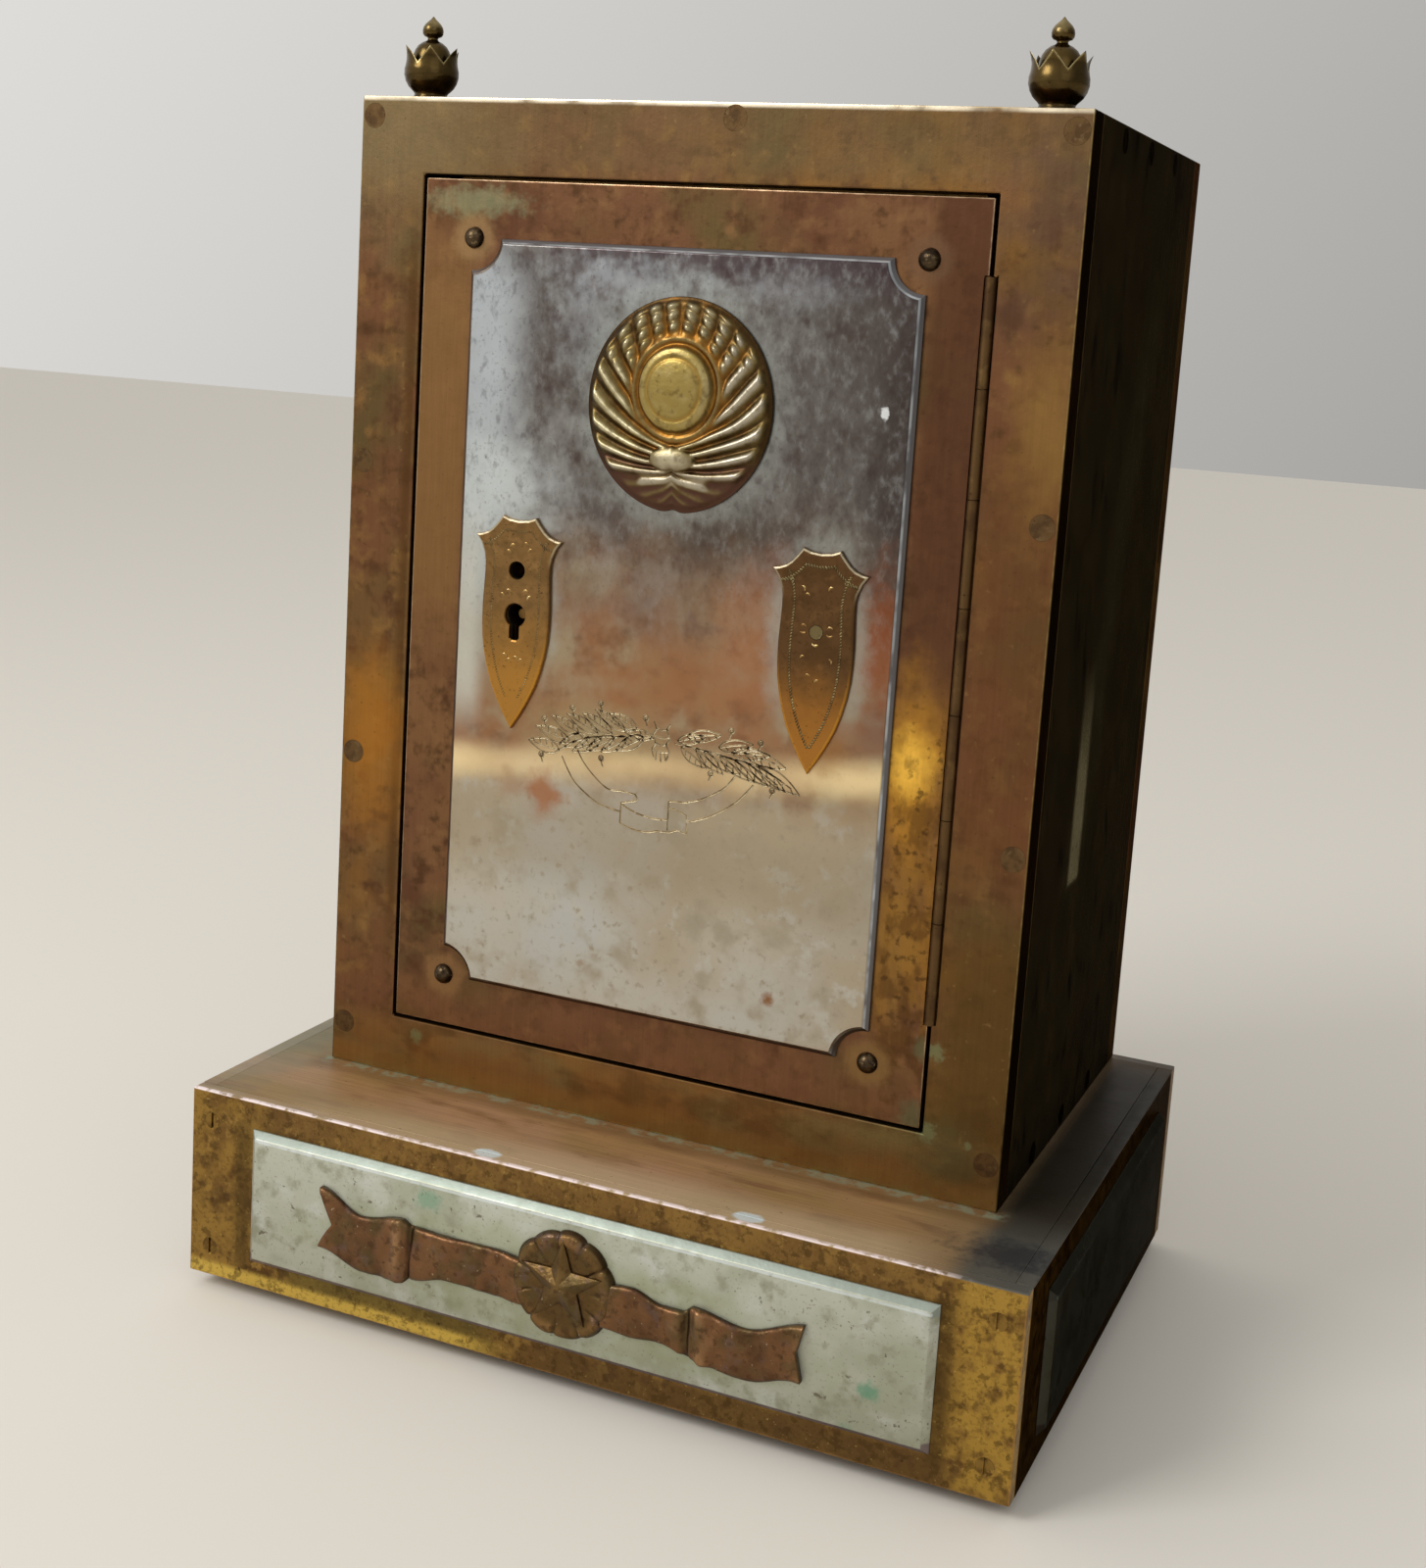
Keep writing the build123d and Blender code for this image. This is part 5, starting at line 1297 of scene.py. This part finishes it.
def make_border(name, x_middle, margin, spacing, slant, size, finish, tree, z_low=6.0):
    """Rope-like slanted beads along a line inside the escutcheon's edge."""
    outline = inset(escutcheon_outline(x_middle), margin)
    closed = outline + outline[:1]
    places, left_over = [], 0.0
    for (x0, z0), (x1, z1) in zip(closed, closed[1:]):
        length = math.hypot(x1 - x0, z1 - z0)
        direction = math.degrees(math.atan2(-(z1 - z0), x1 - x0))
        position = left_over
        while position < length:
            share = position / length
            x, z = x0 + (x1 - x0) * share, z0 + (z1 - z0) * share
            if z > ESCUTCHEON_FOOT_Z + z_low:
                places.append(((x, ESCUTCHEON_FACE, z), direction + slant, size))
            position += spacing
        left_over = position - length
    bead = new_bead("bead", 6, 8)
    piece = scattered(name, bead, places, finish, tree)
    return settle(piece, finish, "cast_brass", "door")


def new_bead(name, rings, steps):
    """A ball of radius 1 mm with few faces."""
    angles = [math.pi * ring / rings for ring in range(rings + 1)]
    return lathe(name, [(math.sin(angle), -math.cos(angle)) for angle in angles], steps)


def make_punches(name, marks, finish, tree):
    """Small crescent punch marks, raised at their edge, as (x, z, turn, size)."""
    points = []
    arcs = 9
    for step in range(arcs):
        angle = math.pi * (0.15 + 0.7 * step / (arcs - 1))
        width = 0.3 * math.sin(math.pi * step / (arcs - 1)) + 0.03
        for part, lift in ((-1, 0.0), (0, 0.22), (1, 0.0)):
            radius = 1.0 + part * width
            points.append((radius * math.cos(angle), -lift, radius * math.sin(angle) - 0.7))
    shape = new_piece("punch", points, grid_faces(arcs, 3))
    places = [((x, ESCUTCHEON_FACE + 0.02, z), turn, (size, size, size)) for x, z, turn, size in marks]
    piece = scattered(name, shape, places, finish, tree)
    return settle(piece, finish, "cast_brass", "door")


# ---- Pieces of the base ----
LEFT_RIBBON_TOP = [
    (-66.5, 8.4), (-55.0, 3.4), (-43.5, 5.6), (-41.0, 4.4), (-31.0, 4.0), (-18.0, 4.2), (-10.0, 3.4),
]
LEFT_RIBBON_FOOT = [
    (-66.8, -6.8), (-55.0, -10.6), (-43.0, -10.4), (-41.0, -9.0), (-31.0, -6.9), (-18.0, -7.2),
    (-10.0, -7.4),
]
LEFT_RIBBON_RISE = [
    (-66.5, 2.1), (-60.0, 1.3), (-52.0, 1.2), (-47.0, 1.8), (-44.2, 2.5), (-42.4, 1.7), (-41.4, 0.7),
    (-40.0, 1.5), (-35.0, 1.9), (-26.0, 1.3), (-18.0, 1.4), (-10.0, 1.9),
]
RIGHT_RIBBON_TOP = [
    (10.0, 3.2), (17.0, 3.6), (25.0, 1.4), (30.0, 1.4), (32.5, 3.1), (45.0, 1.2), (60.0, 5.8),
]
RIGHT_RIBBON_FOOT = [
    (10.0, -7.4), (17.0, -8.2), (26.0, -7.6), (33.0, -9.2), (36.0, -9.9), (46.0, -10.9), (58.6, -7.6),
]
RIGHT_RIBBON_RISE = [
    (10.0, 1.9), (17.0, 1.4), (24.0, 1.3), (29.5, 1.9), (31.4, 0.7), (32.6, 1.8), (34.6, 2.5),
    (38.0, 1.7), (46.0, 1.2), (53.0, 1.4), (60.0, 2.1),
]


def make_ribbon(name, tail_x, notch_x, inner_x, top, foot, rise, finish, node):
    """A cast ribbon: gently rounded and wrinkled, folded over itself once, with a notched tail."""
    columns, rows = 150, 34
    middle_z = ROSETTE_MIDDLE[1]
    points, relief = [], []
    for column in range(columns):
        share = column / (columns - 1)
        for row in range(rows):
            across = row / (rows - 1)
            tail = tail_x + (notch_x - tail_x) * (1 - abs(2 * across - 1)) ** 1.1
            x = tail + (inner_x - tail) * share
            low, high = along(foot, x), along(top, x)
            lean = 1.2 * math.sin(x * 0.21) * (across - 0.5)
            z = low + (high - low) * across
            cross = abs(2 * across - 1)
            height = along(rise, x + lean) + 0.25 * (1 - cross ** 2) - 0.2
            height += 0.16 * math.sin(x * 0.62 + 5 * across) * math.sin(x * 0.17 + 3 * across + 1)
            height += 0.12 * math.sin(x * 1.3 - 7 * across) * smoothstep(math.sin(x * 0.23), -0.3, 0.9)
            height -= 0.55 * smoothstep(cross, 0.9, 1.0)
            points.append((x, BASE_PANEL_FACE - max(0.3, height), middle_z + z))
            relief.append(min(1.0, max(0.0, (height - 0.4) / 2.2)))
    faces = grid_faces(columns, rows)
    count = len(points)
    points += [(x, BASE_PANEL_FACE, z) for x, _, z in points[:count]]
    relief += [0.0] * count
    faces += [tuple(index + count for index in face) for face in grid_faces(columns, rows)]
    rim = [column * rows for column in range(columns)]
    rim += [(columns - 1) * rows + row for row in range(1, rows)]
    rim += [column * rows + rows - 1 for column in range(columns - 2, -1, -1)]
    rim += list(range(rows - 2, 0, -1))
    for index, first in enumerate(rim):
        second = rim[(index + 1) % len(rim)]
        faces.append((first, second, second + count, first + count))
    piece = new_piece(name, points, faces, relief)
    return settle(piece, finish, "copper_bronze", "body", node)


ROSETTE_RISE = 1.85


def make_rosette(finish):
    """A flat disc with broad uneven scallops, rolled up at its edge, and shallow creases."""
    scallops, widest = 11, 13.7
    draw = random.Random(7)
    uneven = [draw.uniform(-0.35, 0.35) for _ in range(scallops)]
    bends = [draw.uniform(-0.06, 0.06) for _ in range(scallops)]

    def place_in_scallop(angle):
        turn = (angle / (2 * math.pi) * scallops) % scallops
        index = int(turn)
        return index, turn - index + bends[index] * math.sin(2 * math.pi * (turn - index))

    def radius_at(angle):
        index, share = place_in_scallop(angle)
        wave = math.sin(math.pi * share)
        radius = min(widest, 12.5 + 0.85 * abs(wave) ** 0.6 + uneven[index] * wave)
        return radius, radius

    def height_at(share, angle):
        index, place = place_in_scallop(angle)
        crease = hump(min(place, 1 - place), 0.07) * smoothstep(share, 0.5, 0.8)
        roll = 0.45 * hump(share - 0.84, 0.09) * (0.7 + uneven[index])
        return (1.9 + roll - 0.4 * crease) * (1 - 0.75 * smoothstep(share, 0.93, 1.0))

    points, faces, heights = polar_relief(
        ROSETTE_MIDDLE, BASE_PANEL_FACE, radius_at, height_at, rings=30, spokes=264,
    )
    relief = [min(1.0, max(0.0, height - 1.3)) for height in heights]
    piece = new_piece("pleated_rosette", points, faces, relief)
    return settle(piece, finish, "copper_bronze", "body", "rosette")


def make_star(finish):
    """A low five-pointed star with ridged arms, its edges a little rounded by casting."""
    arms, tip, hollow, rise = 5, 10.9, 4.4, 2.3
    lift = 0.8
    step = math.pi / arms

    def radius_at(angle):
        turn = (angle - math.pi / 2) % (2 * step)
        near_tip = min(turn, 2 * step - turn)
        run, climb = hollow * math.cos(step) - tip, hollow * math.sin(step)
        radius = tip * climb / (math.cos(near_tip) * climb - math.sin(near_tip) * run)
        return radius, radius

    def height_at(share, angle):
        height = 0.5 + (rise - 0.5) * (1 - share) ** 0.9
        return height * (1 - 0.1 * hump(share, 0.09))

    middle = (ROSETTE_MIDDLE[0], ROSETTE_MIDDLE[1] + lift)
    points, faces, heights = polar_relief(
        middle, BASE_PANEL_FACE - ROSETTE_RISE, radius_at, height_at, rings=22, spokes=160,
    )
    relief = [min(1.0, 0.4 + 0.2 * height) for height in heights]
    piece = new_piece("cast_star", points, faces, relief)
    return settle(piece, finish, "copper_bronze", "body", "star")


# ---- Finials ----
def make_finial(name, x_middle, turn, finish, node):
    """A bud on a dome, in a round cup whose rim is cut into six pointed leaves."""
    columns, outer_rows, inner_rows = 96, 30, 10
    petals = 6
    wall = 0.55
    notch, tip = 8.9, 12.8
    seat, flare = 7.6, 1.3
    bulb = [
        (0.0, 4.3), (0.9, 4.3), (1.4, 3.95), (2.0, 4.0), (2.6, 4.7), (3.4, 5.5), (4.6, 6.2), (6.0, 6.6),
        (7.4, 6.6), (9.0, 6.25), (11.0, 5.85), (13.6, 5.8),
    ]
    middle = [
        (4.75, 7.8), (4.75, 9.4), (4.6, 10.8), (4.2, 12.1), (3.5, 13.2), (2.5, 14.0), (1.5, 14.45),
        (1.2, 14.85), (1.35, 15.25), (2.05, 15.5), (2.45, 16.0), (2.55, 16.8), (2.4, 17.6), (1.95, 18.35),
        (1.3, 19.0), (0.6, 19.6), (0.22, 20.1), (0.0, 20.3),
    ]

    def leaf_at(angle):
        """1 at a leaf's point and 0 in the notch beside it."""
        return abs(2 * ((petals * angle / (2 * math.pi)) % 1.0) - 1)

    rows = [[(0.0, 0.0, 0.2)] * columns]
    for row in range(outer_rows):
        share = row / (outer_rows - 1)
        ring = []
        for column in range(columns):
            leaf = leaf_at(2 * math.pi * column / columns)
            z = (notch + (tip - notch) * leaf) * share
            curl = max(0.0, z - notch) / (tip - notch)
            radius = straight(bulb, z) + flare * curl ** 1.8
            rubbed = smoothstep(share, 0.9, 1.0) + 0.25 * smoothstep(share, 0.3, 0.6)
            ring.append((radius, z, 0.3 + 0.6 * min(1.0, rubbed)))
        rows.append(ring)
    rim = rows[-1]
    for row in range(inner_rows):
        share = (row + 1) / inner_rows
        ring = []
        for column in range(columns):
            z = rim[column][1] + (seat - rim[column][1]) * share
            curl = max(0.0, z - notch) / (tip - notch)
            radius = straight(bulb, z) + flare * curl ** 1.8 - wall * min(1.0, 3 * share)
            ring.append((radius, z, 0.1))
        rows.append(ring)
    for radius, z in middle:
        rows.append([(radius, z, 0.5 + 0.3 * smoothstep(z, 16, 18))] * columns)
    points, relief = [], []
    for ring in rows:
        for column, (radius, z, shade) in enumerate(ring):
            angle = 2 * math.pi * column / columns + turn
            x, y = x_middle + radius * math.cos(angle), FINIAL_Y + radius * math.sin(angle)
            points.append((x, y, BODY_TOP + z))
            relief.append(shade)
    piece = new_piece(name, points, grid_faces(len(rows), columns, True), relief)
    return settle(piece, finish, "cast_brass", "body", node)


# ---- Making the object ----
make_camera()
make_world()
add_softbox("key_light", (-0.75, -1.0, 1.05), (0.0, 0.0, 0.16), 0.6, 11.0)
add_softbox("fill_light", (1.1, -1.2, 0.9), (0.0, 0.0, 0.15), 1.0, 2.0)
make_floor()

JOIN_WITHIN = 0.002
LONG_EDGE = 2.5
SHARP_ANGLE = 35
SMOOTH_ANGLE = 20
SOFT_EDGES = {
    "front_frame": 0.4, "door_plate": 0.35, "base_top": 0.1, "base_front": 0.4, "base_left": 0.3,
    "base_right": 0.3, "base_back": 0.3, "left_side": 0.4, "right_side": 0.4, "top_plate": 0.4,
    "back_plate": 0.4, "door_panel": 0.12, "base_front_panel": 0.2, "base_left_panel": 0.2,
    "base_right_panel": 0.2,
}


def compare(tree, source, output, operation, limit):
    """A node that compares a number with a limit."""
    test = tree.nodes.new("FunctionNodeCompare")
    test.data_type, test.operation = "FLOAT", operation
    test.inputs["B"].default_value = limit
    join(tree, (source, output, test, "A"))
    return test


def clean_tree():
    """Joins a CAD node's loose triangles, drops their stored normals and marks its long sharp edges."""
    tree, entry = new_tree("join_triangles", [])
    merge = tree.nodes.new("GeometryNodeMergeByDistance")
    merge.inputs["Distance"].default_value = JOIN_WITHIN * MM
    drop = tree.nodes.new("GeometryNodeRemoveAttribute")
    drop.inputs["Name"].default_value = "custom_normal"
    angle = tree.nodes.new("GeometryNodeInputMeshEdgeAngle")
    ends = tree.nodes.new("GeometryNodeInputMeshEdgeVertices")
    length = tree.nodes.new("ShaderNodeVectorMath")
    length.operation = "DISTANCE"
    join(tree, (ends, "Position 1", length, 0), (ends, "Position 2", length, 1))
    sharp = compare(tree, angle, "Unsigned Angle", "GREATER_THAN", math.radians(SHARP_ANGLE))
    long = compare(tree, length, "Value", "GREATER_THAN", LONG_EDGE * MM)
    both = tree.nodes.new("FunctionNodeBooleanMath")
    both.operation = "AND"
    store = tree.nodes.new("GeometryNodeStoreNamedAttribute")
    store.data_type, store.domain = "FLOAT", "EDGE"
    store.inputs["Name"].default_value = "bevel_weight_edge"
    join(tree, (sharp, "Result", both, 0), (long, "Result", both, 1), (both, 0, store, "Value"))
    run_through(tree, entry, "Geometry", merge, drop, store)
    return tree


def shade_tree():
    """Smooth over shallow angles, sharp over steep ones."""
    tree, entry = new_tree("shade_by_angle", [])
    angle = tree.nodes.new("GeometryNodeInputMeshEdgeAngle")
    shallow = compare(tree, angle, "Unsigned Angle", "LESS_EQUAL", math.radians(SMOOTH_ANGLE))
    faces, edges = (tree.nodes.new("GeometryNodeSetShadeSmooth") for _ in range(2))
    faces.domain, edges.domain = "FACE", "EDGE"
    join(tree, (shallow, "Result", edges, "Shade Smooth"))
    run_through(tree, entry, "Geometry", faces, edges)
    return tree


def soften(node, width):
    """Rounds a CAD node's sharp edges without touching its mesh."""
    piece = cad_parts[node]
    piece.modifiers.new("join", "NODES").node_group = join_triangles
    bevel = piece.modifiers.new("soft_edges", "BEVEL")
    bevel.limit_method = "WEIGHT"
    bevel.width = width * MM
    bevel.segments = 2
    bevel.use_clamp_overlap = False
    piece.modifiers.new("shade", "NODES").node_group = shade_by_angle


join_triangles = clean_tree()
shade_by_angle = shade_tree()
for node, width in SOFT_EDGES.items():
    soften(node, width)

inner_brass = plain_brass("inner_brass", (140, 108, 62), (122, 92, 52), (156, 124, 74), 14)
rivet_brass = plain_brass("rivet_brass", (98, 75, 48), (82, 62, 41), (108, 86, 58), 3)
wall_screw = plain_brass("base_screw_brass", (138, 108, 54), (104, 78, 40), (164, 130, 68), 3)
# Painted shade: the side screws dark, with darkened reflections.
dark_screw = plain_brass(
    "dark_screw_brass", (40, 33, 22), (26, 21, 14), (60, 50, 34), 2, edge_tint=PAINTED_SHADE_TINT,
)
screw_brass = plain_brass("screw_brass", (120, 92, 48), (70, 50, 28), (176, 140, 78), 2)
dome_brass = plain_brass("dome_brass", (78, 64, 46), (50, 40, 30), (120, 102, 76), 2, (0.22, 0.4))
foot_brass = plain_brass("foot_brass", (60, 48, 30), (34, 26, 18), (84, 66, 40), 6, (0.5, 0.7))
top_brass = plain_brass("top_plate_brass", (104, 85, 55), (90, 71, 45), (118, 97, 64), 26)
hinge_brass = plain_brass("hinge_brass", (94, 71, 44), (78, 57, 37), (108, 84, 52), 9)
cut_line = plain_brass("cut_line", (146, 126, 94), (108, 90, 66), (176, 160, 128), 3, (0.4, 0.6))
pale_cut_line = plain_brass("pale_cut_line", (206, 192, 158), (168, 150, 116), (226, 216, 190), 3, (0.3, 0.5))
border_brass = plain_brass("border_brass", (112, 98, 66), (84, 68, 44), (142, 130, 94), 3, (0.3, 0.5))
punch_brass = plain_brass("punch_brass", (160, 130, 80), (120, 90, 52), (206, 180, 124), 3, (0.2, 0.4))
cast_brass = cast_metal()
lock_steel = steel("lock_steel", (120, 118, 114), (84, 78, 72))
spring_steel = steel("spring_steel", (132, 132, 134), (92, 86, 84), (0.2, 0.36))

for finish, painted in (
    (frame_brass(), "front_frame"), (door_brass(), "door_plate"), (worn_nickel(), "door_panel"),
    (dull_nickel("base_front_panel"), "base_front_panel"),
    # The number after a base side's name lays painted shade on it, most on the right.
    (dull_nickel("base_left_panel", 0.2), "base_left_panel"),
    (dull_nickel("base_right_panel", 0.9), "base_right_panel"),
    (base_wall_brass("base_front"), "base_front"), (base_wall_brass("base_left", 0.25), "base_left"),
    (base_wall_brass("base_right", 0.75), "base_right"), (base_wall_brass("base_back", 0.2), "base_back"),
    (base_top_brass(), "base_top"), (wall_brass("left_side"), "left_side"),
    (wall_brass("right_side"), "right_side"), (wall_brass("back_plate"), "back_plate"),
    (top_brass, "top_plate"), (wall_screw, "base_screws"), (dark_screw, "side_screws"),
    (inner_brass, "base_bottom base_posts floor_plate top_stop bottom_stop side_stops"),
    (inner_brass, "strike_plate lock_cover bolt_guide key_post"),
    (screw_brass, "post_screws floor_screws foot_screws body_bolts back_screws stop_screws"),
    (screw_brass, "strike_screws hinge_frame_screws hinge_door_screws lock_screws cover_screws"),
    (rivet_brass, "frame_rivets"), (hinge_brass, "hinge_frame_leaf hinge_door_leaf hinge_pin"),
    (foot_brass, "feet"), (border_brass, "escutcheon_pin"), (dome_brass, "door_rivets"),
    (lock_steel, "lock_case lock_bolt"), (spring_steel, "bolt_spring"),
):
    for node in painted.split():
        paint_node(node, finish)

shape_tree = scatter_tree()
line_tree = stroke_tree()
make_medallion(gilt())
lock_finish = escutcheon_brass("lock_escutcheon_brass", (126, 96, 58), (164, 118, 54), 180)
blank_finish = escutcheon_brass("blank_escutcheon_brass", (94, 68, 42), (160, 108, 48), 177)
keyhole = keyhole_outline(LOCK_ESCUTCHEON_X, KEYHOLE_Z)
pull_hole = circle_points(LOCK_ESCUTCHEON_X, PULL_HOLE_Z, 2.1, 28)
pin_hole = circle_points(BLANK_ESCUTCHEON_X, PIN_Z, 1.62, 24)
make_escutcheon(
    "lock_shield", LOCK_ESCUTCHEON_X, [keyhole, pull_hole], lock_finish, "cast_brass", "lock_escutcheon",
)
make_escutcheon(
    "blank_shield", BLANK_ESCUTCHEON_X, [pin_hole], blank_finish, "cast_brass", "blank_escutcheon",
)
cuts = engraving_lines()
line_piece("panel_engraving", cuts, PANEL_FACE, cut_line, "worn_nickel", line_tree, 0.3, 0.1)
# Pale strokes: each cut's line moved down and to the right.
pale_offset_lines = [[(x + 0.16, z - 0.24) for x, z in line] for line in cuts]
line_piece("engraving_burrs", pale_offset_lines, PANEL_FACE, pale_cut_line, "worn_nickel", line_tree, 0.24, 0.08)
rope_bead, fine_bead = (0.5, 0.13, 0.22), (0.4, 0.1, 0.12)
make_border("rope_border", BLANK_ESCUTCHEON_X, 3.1, 0.7, 50, rope_bead, border_brass, shape_tree)
make_border("fine_border", LOCK_ESCUTCHEON_X, 2.7, 0.62, 58, fine_bead, border_brass, shape_tree, 8.0)
make_punches("lock_punches", [
    (-42.4, 190.9, 20, 0.8), (-41.4, 192.4, -20, 0.9), (-37.8, 193.0, 10, 0.9), (-36.6, 191.6, -30, 0.8),
    (-43.6, 180.4, 40, 0.7), (-42.0, 181.4, 0, 0.8), (-37.4, 181.6, -10, 0.9), (-36.4, 180.2, -50, 0.8),
    (-42.4, 165.7, 15, 0.8), (-41.2, 164.6, -20, 0.8), (-39.3, 165.3, 5, 0.8), (-38.0, 164.8, -25, 0.8),
], punch_brass, shape_tree)
make_punches("blank_punches", [
    (33.8, 190.4, 60, 0.8), (34.9, 189.0, 20, 0.7), (40.3, 190.8, -40, 0.8), (34.4, 181.8, 0, 0.8),
    (34.4, 180.4, 180, 0.8), (40.8, 181.8, 0, 0.8), (40.8, 180.2, 180, 0.8), (37.5, 177.8, 180, 0.9),
    (34.5, 174.7, -30, 0.7), (41.4, 174.4, 60, 0.7), (36.1, 170.6, 0, 0.7), (38.4, 169.4, -20, 0.8),
], punch_brass, shape_tree)

ribbon_bronze = copper_bronze("ribbon_bronze", (66, 46, 33), (122, 88, 60), (160, 124, 88))
rosette_bronze = copper_bronze("rosette_bronze", (66, 50, 32), (98, 76, 46), (140, 106, 66))
star_bronze = copper_bronze("star_bronze", (66, 50, 32), (100, 78, 46), (150, 120, 74))
make_ribbon(
    "ribbon_left_cast", -66.6, -62.8, -10.0, LEFT_RIBBON_TOP, LEFT_RIBBON_FOOT, LEFT_RIBBON_RISE,
    ribbon_bronze, "ribbon_left",
)
make_ribbon(
    "ribbon_right_cast", 59.2, 57.6, 10.0, RIGHT_RIBBON_TOP, RIGHT_RIBBON_FOOT, RIGHT_RIBBON_RISE,
    ribbon_bronze, "ribbon_right",
)
make_rosette(rosette_bronze)
make_star(star_bronze)
make_finial("finial_left_cast", -FINIAL_X, math.radians(-62), cast_brass, "finial_left")
make_finial("finial_right_cast", FINIAL_X, math.radians(-30), cast_brass, "finial_right")
